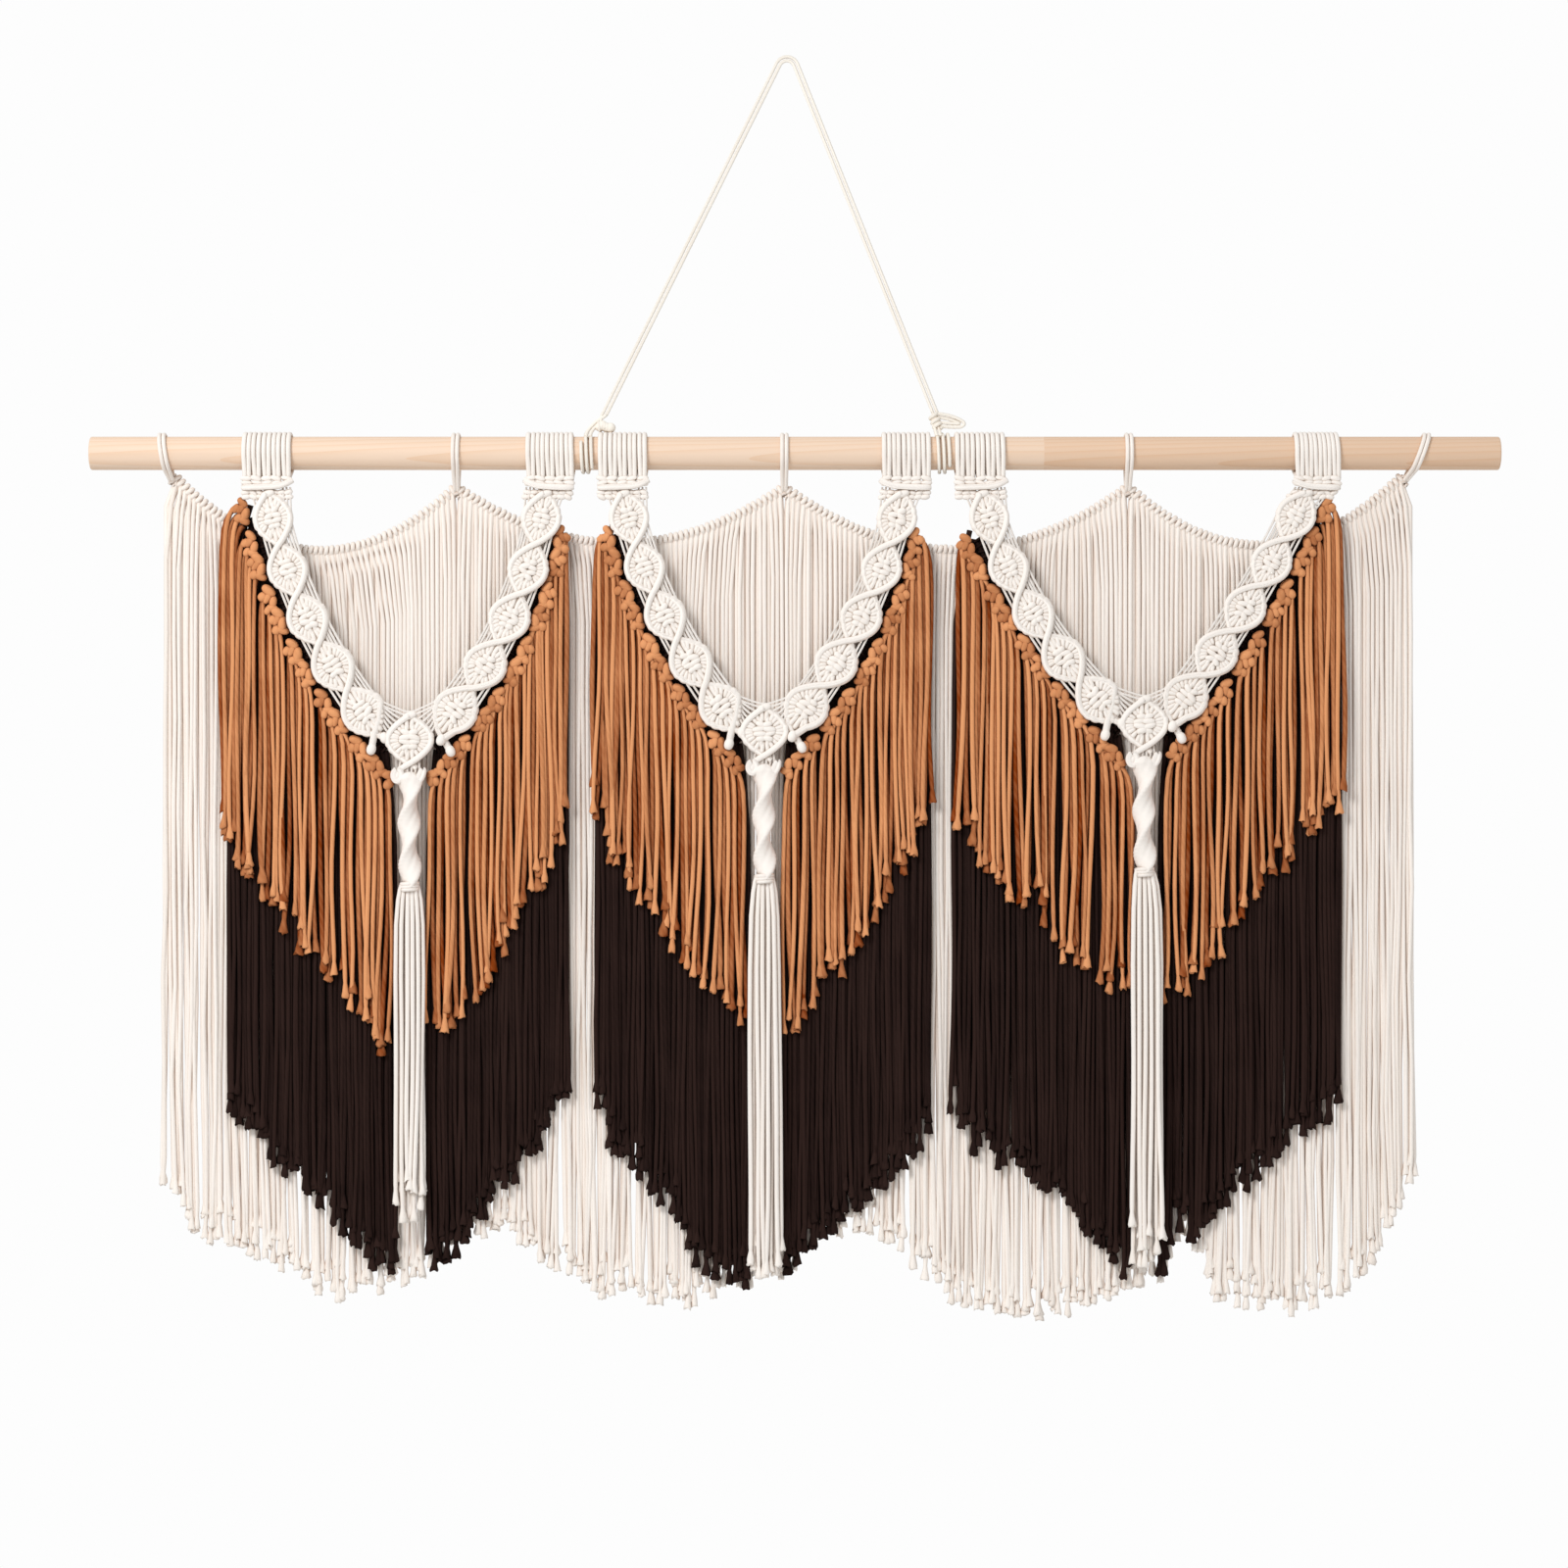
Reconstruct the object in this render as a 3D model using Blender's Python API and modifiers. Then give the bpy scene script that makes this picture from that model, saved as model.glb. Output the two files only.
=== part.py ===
"""Macrame wall hanging: knotted cotton straps, fringes and a back curtain on a pine rod.

The origin is the top of the hanging cord.  +X runs along the rod to the viewer's right, -Y points
at the viewer, +Z is up.  A "drop" is a height measured down from the rod's axis.
"""
import math
import random
from collections import namedtuple

import bmesh
import bpy
from mathutils import Matrix, Vector

# ------------------------------------------------------------------ driving dimensions, metres
GAP = 0.0003                    # between pieces that touch

ROD_LENGTH = 1.060
ROD_RADIUS = 0.0125
ROD_MID_X = 0.006
ROD_Z = -0.297
ROD_EDGE = 0.001
ROUND_SIDES = 24

CORD_DIAMETER = 0.0028          # of the hanging cord
CORD_SPACING = 0.0031           # between its two strands
CORD_BEND_RADIUS = 0.0072       # at the top
CORD_BEND_STEPS = 6
CORD_RUN_POINTS = (1.0, 0.75, 0.5, 0.25)    # shares of a run's length, from its knot
CORD_LEFT_LEAN = math.radians(26.4)
CORD_RIGHT_LEAN = math.radians(21.8)
CORD_LEFT_END = 0.0288          # above the rod's axis
CORD_RIGHT_END = 0.0306

# The lumps of the hanging cord's knots: middle (x, y, height above the rod's axis) and half sizes
Lump = namedtuple("Lump", "name middle half")
LEFT_KNOT = (
    Lump("left_stem", (-0.1497, -0.001, 0.0196), (0.0052, 0.0060, 0.0064)),
    Lump("left_blob", (-0.1400, 0.0, 0.0228), (0.0100, 0.0062, 0.0054)),
)
RIGHT_KNOT = (
    Lump("right_blob", (0.1162, 0.0, 0.0224), (0.0072, 0.0068, 0.0088)),
    Lump("right_loop_ends", (0.1272, -0.001, 0.0230), (0.0085, 0.0046, 0.0042)),
)
LEFT_KNOT_WRAPS = (-0.1553, -0.1447)        # x range on the rod
RIGHT_KNOT_WRAPS = (0.1117, 0.1233)

WRAP_INNER = 0.0133             # radius to the corners of a wrap's 12-sided bore
WRAP_CORD = 0.0038              # cord that the wraps are made of
WRAP_SIDES = 12

# Layers of the hanging, from the back to the front, as y ranges
CURTAIN_LAYER = (0.0040, 0.0092)
DARK_LAYER = (-0.0024, 0.0022)
BROWN_LAYER = (-0.0077, -0.0027)
STRAP_BACK = -0.0080

STRAP_BASE = 0.0035             # thickness under the ridges
STRAP_RIDGE = 0.0032            # how far the diamonds' ridges stand up
STRAP_PAD = 0.0013              # how far the square knots inside them do
STRAP_WIDE = 0.0180             # half width at a diamond's corners
STRAP_NARROW = 0.0130           # half width where the ridges cross
STRAP_NECK = 0.0080             # half width of the cords that enter the centre diamond
STRAP_NECK_REACH = 0.45         # their share of the way to the centre diamond's middle
DIAMONDS = 5
ROWS_PER_DIAMOND = 4
STRAP_COLUMNS = 4
BAR_DROPS = (0.0138, 0.0170, 0.0245)        # the ridged bar under the wraps: edge, ridge, ridge
BAR_INSET = 0.0005              # its ends, inside the wraps' ends

HEART_HALF_WIDTH = 0.0185
HEART_HALF_HEIGHT = 0.0232
HEART_DEPTH = 0.0040
# From the centre diamond's edge inwards: width of each step and how far it rises
HEART_STEPS = ((0.0022, 0.0035), (0.0022, 0.0), (0.0018, -0.0022), (0.0030, 0.0022))

SINNET_WIDE = 0.0088
SINNET_THIN = 0.0052
SINNET_TURN = 0.085             # height of one whole turn
SINNET_TOP = 0.55               # its top's share of its full width
SINNET_SIDES = 6
SINNET_RINGS = 18
SINNET_SHOULDER = 0.15          # share of its length in which it reaches its full width
SINNET_Y = -0.0125

TASSEL_Y = -0.0122
TASSEL_HEAD = (0.0078, 0.0036, 0.0055)      # half width, half depth and half height of its tie
TASSEL_ROOT = 0.0030            # width of a strand where it leaves the tie
TASSEL_STRAND = (0.0052, 0.0032)            # width and depth of a strand below
TASSEL_SPREAD = 0.0061          # between strands side by side; two rows of four
TASSEL_KNEE = 0.045             # below the tie, where the strands are nearly spread

CURTAIN_STRANDS = 22            # in each swag
BROWN_STRANDS = 15              # in each fringe
DARK_STRANDS = 12
CURTAIN_BAR = 0.008             # thickness of the knotted bar that the strands hang from
BROWN_BAR = 0.0100
DARK_BAR = 0.0115
BAR_STEEPEST = 2.6              # height over thickness of a bar where it runs steeply
CURTAIN_GAP = 0.12              # share of the spacing that is open between strands
BROWN_GAP = 0.24
DARK_GAP = 0.11
BROWN_SHOULDER = 0.034          # height in which the strands arch out from their knots
DARK_LINE_SHIFT = 0.22          # the dark bar's place between the brown knots and the strap
KNOT_WAIST = 0.75               # a bar's size between knots, as a share of its size at them
STRAND_DEPTH = 0.84             # of a strand, as a share of its layer's
TIP_HEIGHT = 0.012              # of a strand's frayed end
TIP_NECK = 0.86                 # width above the frayed end, as a share of the strand's
UNEVEN = (-0.008, 0.006)        # how far a strand may end below or above the hem
SWAY = (0.0002, 0.05)           # sideways, and in depth as a share of the layer's

# The back curtain's loops: x on the rod, then x and drop of the foot, where two swags meet
Loop = namedtuple("Loop", "rod_x foot_x foot_drop")
LOOPS = (
    Loop(-0.468, -0.4635, 0.018),
    Loop(-0.249, -0.249, 0.027),
    Loop(-0.002, -0.002, 0.027),
    Loop(0.257, 0.257, 0.027),
    Loop(0.476, 0.4655, 0.018),
)
LOOP_HALF_WIDTH = 0.0025        # of a loop's foot
LOOP_RING_HALF_WIDTH = 0.0033
LOOP_TOP_DROP = 0.0145          # where the foot leaves the ring, and its y range there
LOOP_TOP_LAYER = (-0.0020, 0.0042)
LOOP_FOOT_BELOW = 0.004         # how far the foot reaches below the swags' ends
CURTAIN_EDGE_LEFT = -0.468      # the outermost strands hang a little outside the swags' ends
CURTAIN_EDGE_RIGHT = 0.470
CURTAIN_MEET = 0.0007           # half the space between two swags' strands below a loop
SWAG_SAGS = (0.050, 0.040, 0.045, 0.046)

# The back curtain's lower edge: x, drop
CURTAIN_HEM = (
    (-0.470, 0.560), (-0.441, 0.590), (-0.399, 0.603), (-0.342, 0.636), (-0.277, 0.620),
    (-0.254, 0.594), (-0.220, 0.583), (-0.146, 0.629), (-0.076, 0.641), (-0.002, 0.615),
    (0.027, 0.590), (0.057, 0.581), (0.108, 0.619), (0.134, 0.642), (0.190, 0.650),
    (0.256, 0.630), (0.285, 0.618), (0.297, 0.585), (0.326, 0.636), (0.381, 0.645),
    (0.429, 0.627), (0.451, 0.590), (0.472, 0.540),
)

# One row a strap, each curve as three control points (x, drop), its upper outer end first; the
# wraps' x range on the rod; and the strands' lower edges as outer, middle and inner (x, drop).
Strap = namedtuple("Strap", "name wraps strap chain brown_hem dark_hem")
STRAPS = (
    Strap("1_left", (-0.409, -0.372),
          ((-0.3895, 0.030), (-0.374, 0.126), (-0.306, 0.206)),
          ((-0.413, 0.039), (-0.381, 0.167), (-0.296, 0.247)),
          ((-0.430, 0.271), (-0.371, 0.352), (-0.297, 0.450)),
          ((-0.424, 0.495), (-0.364, 0.540), (-0.296, 0.616))),
    Strap("1_right", (-0.196, -0.160),
          ((-0.181, 0.030), (-0.194, 0.126), (-0.259, 0.206)),
          ((-0.170, 0.061), (-0.186, 0.164), (-0.270, 0.247)),
          ((-0.162, 0.279), (-0.212, 0.360), (-0.269, 0.437)),
          ((-0.163, 0.481), (-0.212, 0.544), (-0.270, 0.608))),
    Strap("2_left", (-0.142, -0.105),
          ((-0.123, 0.030), (-0.105, 0.123), (-0.038, 0.203)),
          ((-0.135, 0.061), (-0.109, 0.160), (-0.033, 0.238)),
          ((-0.150, 0.249), (-0.091, 0.351), (-0.031, 0.434)),
          ((-0.148, 0.478), (-0.091, 0.560), (-0.029, 0.622))),
    Strap("2_right", (0.071, 0.108),
          ((0.087, 0.030), (0.068, 0.127), (0.004, 0.203)),
          ((0.096, 0.063), (0.077, 0.163), (-0.001, 0.238)),
          ((0.114, 0.267), (0.060, 0.360), (-0.001, 0.431)),
          ((0.114, 0.508), (0.057, 0.562), (-0.002, 0.610))),
    Strap("3_left", (0.126, 0.164),
          ((0.146, 0.030), (0.171, 0.124), (0.247, 0.196)),
          ((0.134, 0.067), (0.186, 0.167), (0.252, 0.233)),
          ((0.125, 0.275), (0.197, 0.356), (0.259, 0.406)),
          ((0.123, 0.496), (0.190, 0.544), (0.257, 0.616))),
    Strap("3_right", (0.381, 0.415),
          ((0.390, 0.030), (0.350, 0.116), (0.289, 0.196)),
          ((0.405, 0.039), (0.355, 0.157), (0.284, 0.231)),
          ((0.420, 0.267), (0.352, 0.341), (0.283, 0.408)),
          ((0.416, 0.489), (0.352, 0.548), (0.281, 0.616))),
)

# One row a centre diamond: its middle, its tassel's tie, and the tassel's foot
Centre = namedtuple("Centre", "x drop tie_drop foot_x foot_drop")
CENTRES = (
    Centre(-0.283, 0.217, 0.326, -0.283, 0.568),
    Centre(-0.017, 0.211, 0.325, -0.017, 0.612),
    Centre(0.268, 0.205, 0.315, 0.270, 0.602),
)

# ------------------------------------------------------------------ scene set-up
for old in list(bpy.data.objects):
    bpy.data.objects.remove(old, do_unlink=True)

parts = bpy.data.collections.new("macrame_wall_hanging")
cutters = bpy.data.collections.new("cutters")
bpy.context.scene.collection.children.link(parts)
bpy.context.scene.collection.children.link(cutters)


def make_material(name, colour, roughness):
    material = bpy.data.materials.new(name)
    material.use_nodes = True
    shader = material.node_tree.nodes["Principled BSDF"]
    shader.inputs["Base Color"].default_value = (*colour, 1.0)
    shader.inputs["Roughness"].default_value = roughness
    shader.inputs["Metallic"].default_value = 0.0
    return material


PINE = make_material("pine", (0.83, 0.66, 0.47), 0.55)
CREAM_COTTON = make_material("cream cotton", (0.84, 0.79, 0.72), 0.9)
WHITE_COTTON = make_material("white cotton", (0.92, 0.90, 0.86), 0.9)
BROWN_COTTON = make_material("brown cotton", (0.50, 0.22, 0.09), 0.9)
DARK_COTTON = make_material("dark cotton", (0.018, 0.010, 0.009), 0.9)


def add_object(name, data, material=None, collection=parts):
    obj = bpy.data.objects.new(name, data)
    collection.objects.link(obj)
    if material:
        data.materials.append(material)
    return obj


def object_from_bmesh(name, bm, material=None, collection=parts):
    bmesh.ops.recalc_face_normals(bm, faces=bm.faces[:])
    mesh = bpy.data.meshes.new(name)
    bm.to_mesh(mesh)
    bm.free()
    return add_object(name, mesh, material, collection)


def boolean(target, tool, operation):
    """Join a tool to the target, or cut it away, with a live modifier."""
    tool.hide_render = True
    tool.display_type = 'WIRE'
    modifier = target.modifiers.new(operation.lower(), 'BOOLEAN')
    modifier.operation = operation
    modifier.solver = 'EXACT'
    modifier.object = tool


# ------------------------------------------------------------------ curves and tables
def bezier(points, t):
    """A point of the curve with three control points."""
    start, bend, end = (Vector(p) for p in points)
    return start * (1 - t) ** 2 + bend * 2 * t * (1 - t) + end * t ** 2


def bezier_direction(points, t):
    start, bend, end = (Vector(p) for p in points)
    return ((bend - start) * (1 - t) + (end - bend) * t).normalized()


def table_value(rows, x):
    """The second column of a table at x, straight between its rows."""
    rows = sorted(rows)
    for (x0, v0), (x1, v1) in zip(rows, rows[1:]):
        if x <= x1:
            share = max(0.0, (x - x0) / (x1 - x0))
            return v0 + (v1 - v0) * share
    return rows[-1][1]


def solve(function, target, steps=30):
    """The t from 0 to 1 at which a steady function reaches the target."""
    low, high = 0.0, 1.0
    rising = function(1.0) > function(0.0)
    for _ in range(steps):
        middle = (low + high) / 2
        if (function(middle) < target) == rising:
            low = middle
        else:
            high = middle
    return (low + high) / 2


# ------------------------------------------------------------------ building blocks
def ellipsoid(name, centre, radii):
    bm = bmesh.new()
    bmesh.ops.create_uvsphere(bm, u_segments=8, v_segments=6, radius=1.0)
    bmesh.ops.scale(bm, vec=radii, verts=bm.verts[:])
    bmesh.ops.translate(bm, vec=centre, verts=bm.verts[:])
    return object_from_bmesh(name, bm, collection=cutters)


def joined_lumps(target, lumps):
    for lump in lumps:
        x, y, height = lump.middle
        boolean(target, ellipsoid(lump.name, (x, y, ROD_Z + height), lump.half), 'UNION')


def wrap_band(name, x_range, turns, material=None, collection=parts):
    """Turns of cord side by side round the rod: a ridged profile, turned about the rod's axis."""
    low, high = x_range
    width = (high - low) / turns
    outer = WRAP_INNER + WRAP_CORD
    valley = outer - WRAP_CORD / 3
    profile = [(high, WRAP_INNER), (low, WRAP_INNER)]
    for turn in range(turns):
        start = low + turn * width
        profile += [(start, valley), (start + width / 2, outer)]
    profile.append((high, valley))
    bm = bmesh.new()
    loop = [bm.verts.new((x, 0, radius)) for x, radius in profile]
    for a, b in zip(loop, loop[1:] + loop[:1]):
        bm.edges.new((a, b))
    mesh = bpy.data.meshes.new(name)
    bm.to_mesh(mesh)
    bm.free()
    band = add_object(name, mesh, material, collection)
    band.location = (0, 0, ROD_Z)
    turn = band.modifiers.new("turn", 'SCREW')
    turn.axis = 'X'
    turn.angle = math.tau
    turn.steps = turn.render_steps = WRAP_SIDES
    turn.screw_offset = 0
    turn.use_merge_vertices = True
    turn.merge_threshold = 0.00001
    return band


def grid_box(cells_x, cells_y, cells_z):
    """A unit cube cut into cells; returns it with each vertex's cell indices."""
    bm = bmesh.new()
    bmesh.ops.create_cube(bm, size=1.0)
    for axis, cells in enumerate((cells_x, cells_y, cells_z)):
        if cells > 1:
            along = [e for e in bm.edges
                     if abs(e.verts[0].co[axis] - e.verts[1].co[axis]) > 0.5]
            bmesh.ops.subdivide_edges(bm, edges=along, cuts=cells - 1, use_grid_fill=True)
    index = {}
    for vert in bm.verts:
        index[vert] = (round((vert.co.x + 0.5) * cells_x), round((vert.co.y + 0.5) * cells_y),
                       round((vert.co.z + 0.5) * cells_z))
    return bm, index


def extrude_strands(bm, faces, order, sections):
    """Grow one strand from each face; each section gives a list of (x, y, z, width, depth)."""
    for section in sections:
        faces = bmesh.ops.extrude_discrete_faces(bm, faces=faces)["faces"]
        faces.sort(key=order)
        for face, (x, y, z, width, depth) in zip(faces, section):
            middle = face.calc_center_median()
            for vert in face.verts:
                side = math.copysign(width / 2, vert.co.x - middle.x)
                front = math.copysign(depth / 2, vert.co.y - middle.y)
                vert.co = (x + side, y + front, z)
    return faces


def fringe(name, material, heading, flare, hem, count, layer, bar, shoulder, gap, seed):
    """A knotted bar along heading(t) with strands fused to its under side.

    The strands are evenly spaced where they hang; flare says how far those at t = 0 and at t = 1
    hang from the bar's ends.
    """
    rand = random.Random(seed)
    y_front, y_back = layer
    y_middle = (y_front + y_back) / 2
    depth = y_back - y_front
    outer_flare, inner_flare = flare

    def hang_x(t):
        return heading(t).x + outer_flare * (1 - t) ** 2 + inner_flare * t ** 2

    first, last = hang_x(0.0), hang_x(1.0)
    pitch = (last - first) / (count - gap)
    inward = math.copysign(1, pitch)
    centres = [first + pitch * (i + (1 - gap) / 2) for i in range(count)]
    slices = []
    for centre in centres:
        for side in (-1, 1):
            slices.append(heading(solve(hang_x, centre + side * pitch * (1 - gap) / 2)))
    heights = []
    for before, after in zip(slices[:1] + slices[:-1], slices[1:] + slices[-1:]):
        way = after - before
        heights.append(bar * min(BAR_STEEPEST, way.length / abs(way.x)))

    bm, index = grid_box(len(slices) - 1, 1, 1)
    roots = [face for face in bm.faces
             if all(index[v][2] == 0 for v in face.verts)
             and min(index[v][0] for v in face.verts) % 2 == 0]
    for vert in bm.verts:
        column, back, top = index[vert]
        swell = 1.0 if column % 2 else KNOT_WAIST
        along = slices[column]
        rise = heights[column] / 2 if top else -heights[column] / 2
        y = y_back if back else y_middle - (depth / 2) * swell
        vert.co = (along.x, y, ROD_Z - along.y + rise * swell)

    width = abs(pitch) * (1 - gap)
    roots.sort(key=lambda face: inward * face.calc_center_median().x)
    root_z = [min(v.co.z for v in face.verts) for face in roots]
    tips = []
    for centre in centres:
        tips.append(ROD_Z - table_value(hem, centre) - rand.uniform(*UNEVEN))
    strand = depth * STRAND_DEPTH
    across, back_and_forth = SWAY
    sways = [(rand.uniform(-across, across), rand.uniform(-1, 1) * depth * back_and_forth)
             for _ in centres]
    sections = []
    if shoulder:
        sections.append([(x, y_middle + sway, z - shoulder, width, strand)
                         for x, z, (_, sway) in zip(centres, root_z, sways)])
    sections.append([(x + shift, y_middle + sway, tip + TIP_HEIGHT, width * TIP_NECK,
                      strand * TIP_NECK)
                     for x, tip, (shift, sway) in zip(centres, tips, sways)])
    sections.append([(x + shift, y_middle + sway, tip, width, strand)
                     for x, tip, (shift, sway) in zip(centres, tips, sways)])
    extrude_strands(bm, roots, lambda face: inward * face.calc_center_median().x, sections)
    return object_from_bmesh(name, bm, material)


# ------------------------------------------------------------------ rod and hanging cord
def build_rod():
    bpy.ops.mesh.primitive_cylinder_add(vertices=ROUND_SIDES, radius=ROD_RADIUS,
                                        depth=ROD_LENGTH, location=(ROD_MID_X, 0, ROD_Z),
                                        rotation=(0, math.pi / 2, 0))
    rod = bpy.context.active_object
    rod.name = rod.data.name = "rod"
    for collection in list(rod.users_collection):
        collection.objects.unlink(rod)
    parts.objects.link(rod)
    rod.data.materials.append(PINE)
    rod.data.shade_smooth()
    rod.data.set_sharp_from_angle(angle=math.radians(40))
    edge = rod.modifiers.new("eased ends", 'BEVEL')
    edge.width = ROD_EDGE
    edge.segments = 1
    edge.limit_method = 'ANGLE'
    edge.angle_limit = math.radians(60)


def cord_route(offset):
    """From the left knot over the top to the right knot, offset outwards from the pair's middle."""
    radius = CORD_BEND_RADIUS + offset
    middle = Vector((0, -CORD_BEND_RADIUS))
    left_angle = math.pi - CORD_LEFT_LEAN
    right_angle = CORD_RIGHT_LEAN
    bend = []
    for i in range(CORD_BEND_STEPS + 1):
        angle = left_angle + (right_angle - left_angle) * i / CORD_BEND_STEPS
        bend.append(middle + radius * Vector((math.cos(angle), math.sin(angle))))
    left_length = (bend[0].y - ROD_Z - CORD_LEFT_END) / math.cos(CORD_LEFT_LEAN)
    right_length = (bend[-1].y - ROD_Z - CORD_RIGHT_END) / math.cos(CORD_RIGHT_LEAN)
    left_way = Vector((-math.sin(CORD_LEFT_LEAN), -math.cos(CORD_LEFT_LEAN)))
    right_way = Vector((math.sin(CORD_RIGHT_LEAN), -math.cos(CORD_RIGHT_LEAN)))
    left_run = [bend[0] + left_way * left_length * share for share in CORD_RUN_POINTS]
    right_run = [bend[-1] + right_way * right_length * share
                 for share in reversed(CORD_RUN_POINTS)]
    return left_run + bend + right_run


def build_hanging_cord():
    for name, offset in (("hang_cord_outer", CORD_SPACING / 2),
                         ("hang_cord_inner", -CORD_SPACING / 2)):
        curve = bpy.data.curves.new(name, 'CURVE')
        curve.dimensions = '3D'
        curve.bevel_depth = CORD_DIAMETER / 2
        curve.bevel_resolution = 2
        curve.use_fill_caps = True
        route = cord_route(offset)
        spline = curve.splines.new('POLY')
        spline.points.add(len(route) - 1)
        for point, place in zip(spline.points, route):
            point.co = (place.x, 0, place.y, 1)
        add_object(name, curve, WHITE_COTTON)


def build_hanging_knots():
    left = wrap_band("hang_knot_left", LEFT_KNOT_WRAPS, 2, WHITE_COTTON)
    joined_lumps(left, LEFT_KNOT)
    right = wrap_band("hang_knot_right", RIGHT_KNOT_WRAPS, 2, WHITE_COTTON)
    joined_lumps(right, RIGHT_KNOT)


# ------------------------------------------------------------------ back curtain
def build_curtain_loops():
    for number, loop in enumerate(LOOPS, 1):
        ring = (loop.rod_x - LOOP_RING_HALF_WIDTH, loop.rod_x + LOOP_RING_HALF_WIDTH)
        band = wrap_band(f"curtain_loop_{number}", ring, 2, CREAM_COTTON)
        bm, index = grid_box(1, 1, 1)
        for vert in bm.verts:
            right, back, top = index[vert]
            side = LOOP_HALF_WIDTH if right else -LOOP_HALF_WIDTH
            if top:
                vert.co = (loop.rod_x + side, LOOP_TOP_LAYER[back], ROD_Z - LOOP_TOP_DROP)
            else:
                vert.co = (loop.foot_x + side, CURTAIN_LAYER[back],
                           ROD_Z - loop.foot_drop - LOOP_FOOT_BELOW)
        boolean(band, object_from_bmesh(f"loop_foot_{number}", bm, collection=cutters), 'UNION')


def build_curtain():
    """Four swags, each hung between two loops' feet; the outer end comes first."""
    clear = LOOP_HALF_WIDTH + GAP
    for number, (left, right, sag) in enumerate(zip(LOOPS, LOOPS[1:], SWAG_SAGS), 1):
        outer, inner = (left, right) if number <= 2 else (right, left)
        inward = math.copysign(1, inner.foot_x - outer.foot_x)
        start = Vector((outer.foot_x + inward * clear, outer.foot_drop))
        end = Vector((inner.foot_x - inward * clear, inner.foot_drop))

        def swag(t, start=start, end=end, sag=sag):
            return start.lerp(end, t) + Vector((0, sag * 4 * t * (1 - t)))

        closing = inward * (clear - CURTAIN_MEET)
        outer_flare = -closing
        if number == 1:
            outer_flare = CURTAIN_EDGE_LEFT - start.x
        if number == 4:
            outer_flare = CURTAIN_EDGE_RIGHT - start.x
        fringe(f"curtain_{number}", CREAM_COTTON, swag, (outer_flare, closing), CURTAIN_HEM,
               CURTAIN_STRANDS, CURTAIN_LAYER, CURTAIN_BAR, shoulder=0, gap=CURTAIN_GAP,
               seed=number)


# ------------------------------------------------------------------ straps
def strap_relief(across, row):
    """How far the lattice stands up at across (-1 to 1) on a row; four rows make a diamond."""
    phase = row % ROWS_PER_DIAMOND
    ridge_at = (0.0, 0.5, 1.0, 0.5)[phase]
    if abs(across) == ridge_at:
        return STRAP_RIDGE
    return STRAP_PAD if abs(across) < ridge_at else 0.0


def build_strap(row, centre):
    """Lattice band as a box cut into rows, bent along its curve, with its wraps joined on."""
    wrap_low, wrap_high = row.wraps
    bar_middle = (wrap_low + wrap_high) / 2
    bar_half = (wrap_high - wrap_low) / 2 - BAR_INSET
    lines = [(Vector((bar_middle, drop)), Vector((1, 0)), bar_half) for drop in BAR_DROPS]
    lattice_rows = DIAMONDS * ROWS_PER_DIAMOND
    middling = (STRAP_NARROW + STRAP_WIDE) / 2
    half_widths = (STRAP_NARROW, middling, STRAP_WIDE, middling)
    for step in range(lattice_rows + 1):
        t = step / lattice_rows
        along = bezier_direction(row.strap, t)
        across = Vector((along.y, -along.x))
        if step == 0:
            across = Vector((1, 0))
        lines.append((bezier(row.strap, t), across, half_widths[step % ROWS_PER_DIAMOND]))
    foot, across, _ = lines[-1]
    neck = foot.lerp(Vector((centre.x, centre.drop)), STRAP_NECK_REACH)
    lines.append((neck, across, STRAP_NECK))

    bm, index = grid_box(STRAP_COLUMNS, 1, len(lines) - 1)
    height = {}
    for vert in bm.verts:
        column, back, from_foot = index[vert]
        line = len(lines) - 1 - from_foot
        middle, across, half = lines[line]
        share = 2 * column / STRAP_COLUMNS - 1
        place = middle + across * half * share
        height[vert] = 0.0
        if not back and 0 < line < len(lines) - 1:
            on_bar = line < len(BAR_DROPS)
            height[vert] = (STRAP_RIDGE if on_bar
                            else strap_relief(share, line - len(BAR_DROPS)))
        y = STRAP_BACK if back else STRAP_BACK - STRAP_BASE - height[vert]
        vert.co = (place.x, y, ROD_Z - place.y)
    for face in list(bm.faces):
        if len(face.verts) == 4 and all(index[v][1] == 0 for v in face.verts):
            a, b, c, d = face.verts
            if height[a] + height[c] >= height[b] + height[d]:
                bmesh.utils.face_split(face, a, c)
            else:
                bmesh.utils.face_split(face, b, d)
    bmesh.ops.dissolve_faces(bm, faces=[f for f in bm.faces
                                        if all(index[v][1] == 1 for v in f.verts)])
    strap = object_from_bmesh(f"strap_{row.name}", bm, WHITE_COTTON)
    wraps = wrap_band(f"wraps_{row.name}", row.wraps, 5, collection=cutters)
    boolean(strap, wraps, 'UNION')
    inradius = (HEART_HALF_WIDTH * HEART_HALF_HEIGHT
                / math.hypot(HEART_HALF_WIDTH, HEART_HALF_HEIGHT))
    grown = 1 + GAP / inradius
    through = 4 * (STRAP_BASE + STRAP_RIDGE)
    clearance = rhombus(HEART_HALF_WIDTH * grown, HEART_HALF_HEIGHT * grown, through, centre)
    bmesh.ops.translate(clearance, vec=(0, through / 2, 0), verts=clearance.verts[:])
    boolean(strap, object_from_bmesh(f"clearance_{row.name}", clearance, collection=cutters),
            'DIFFERENCE')


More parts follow.
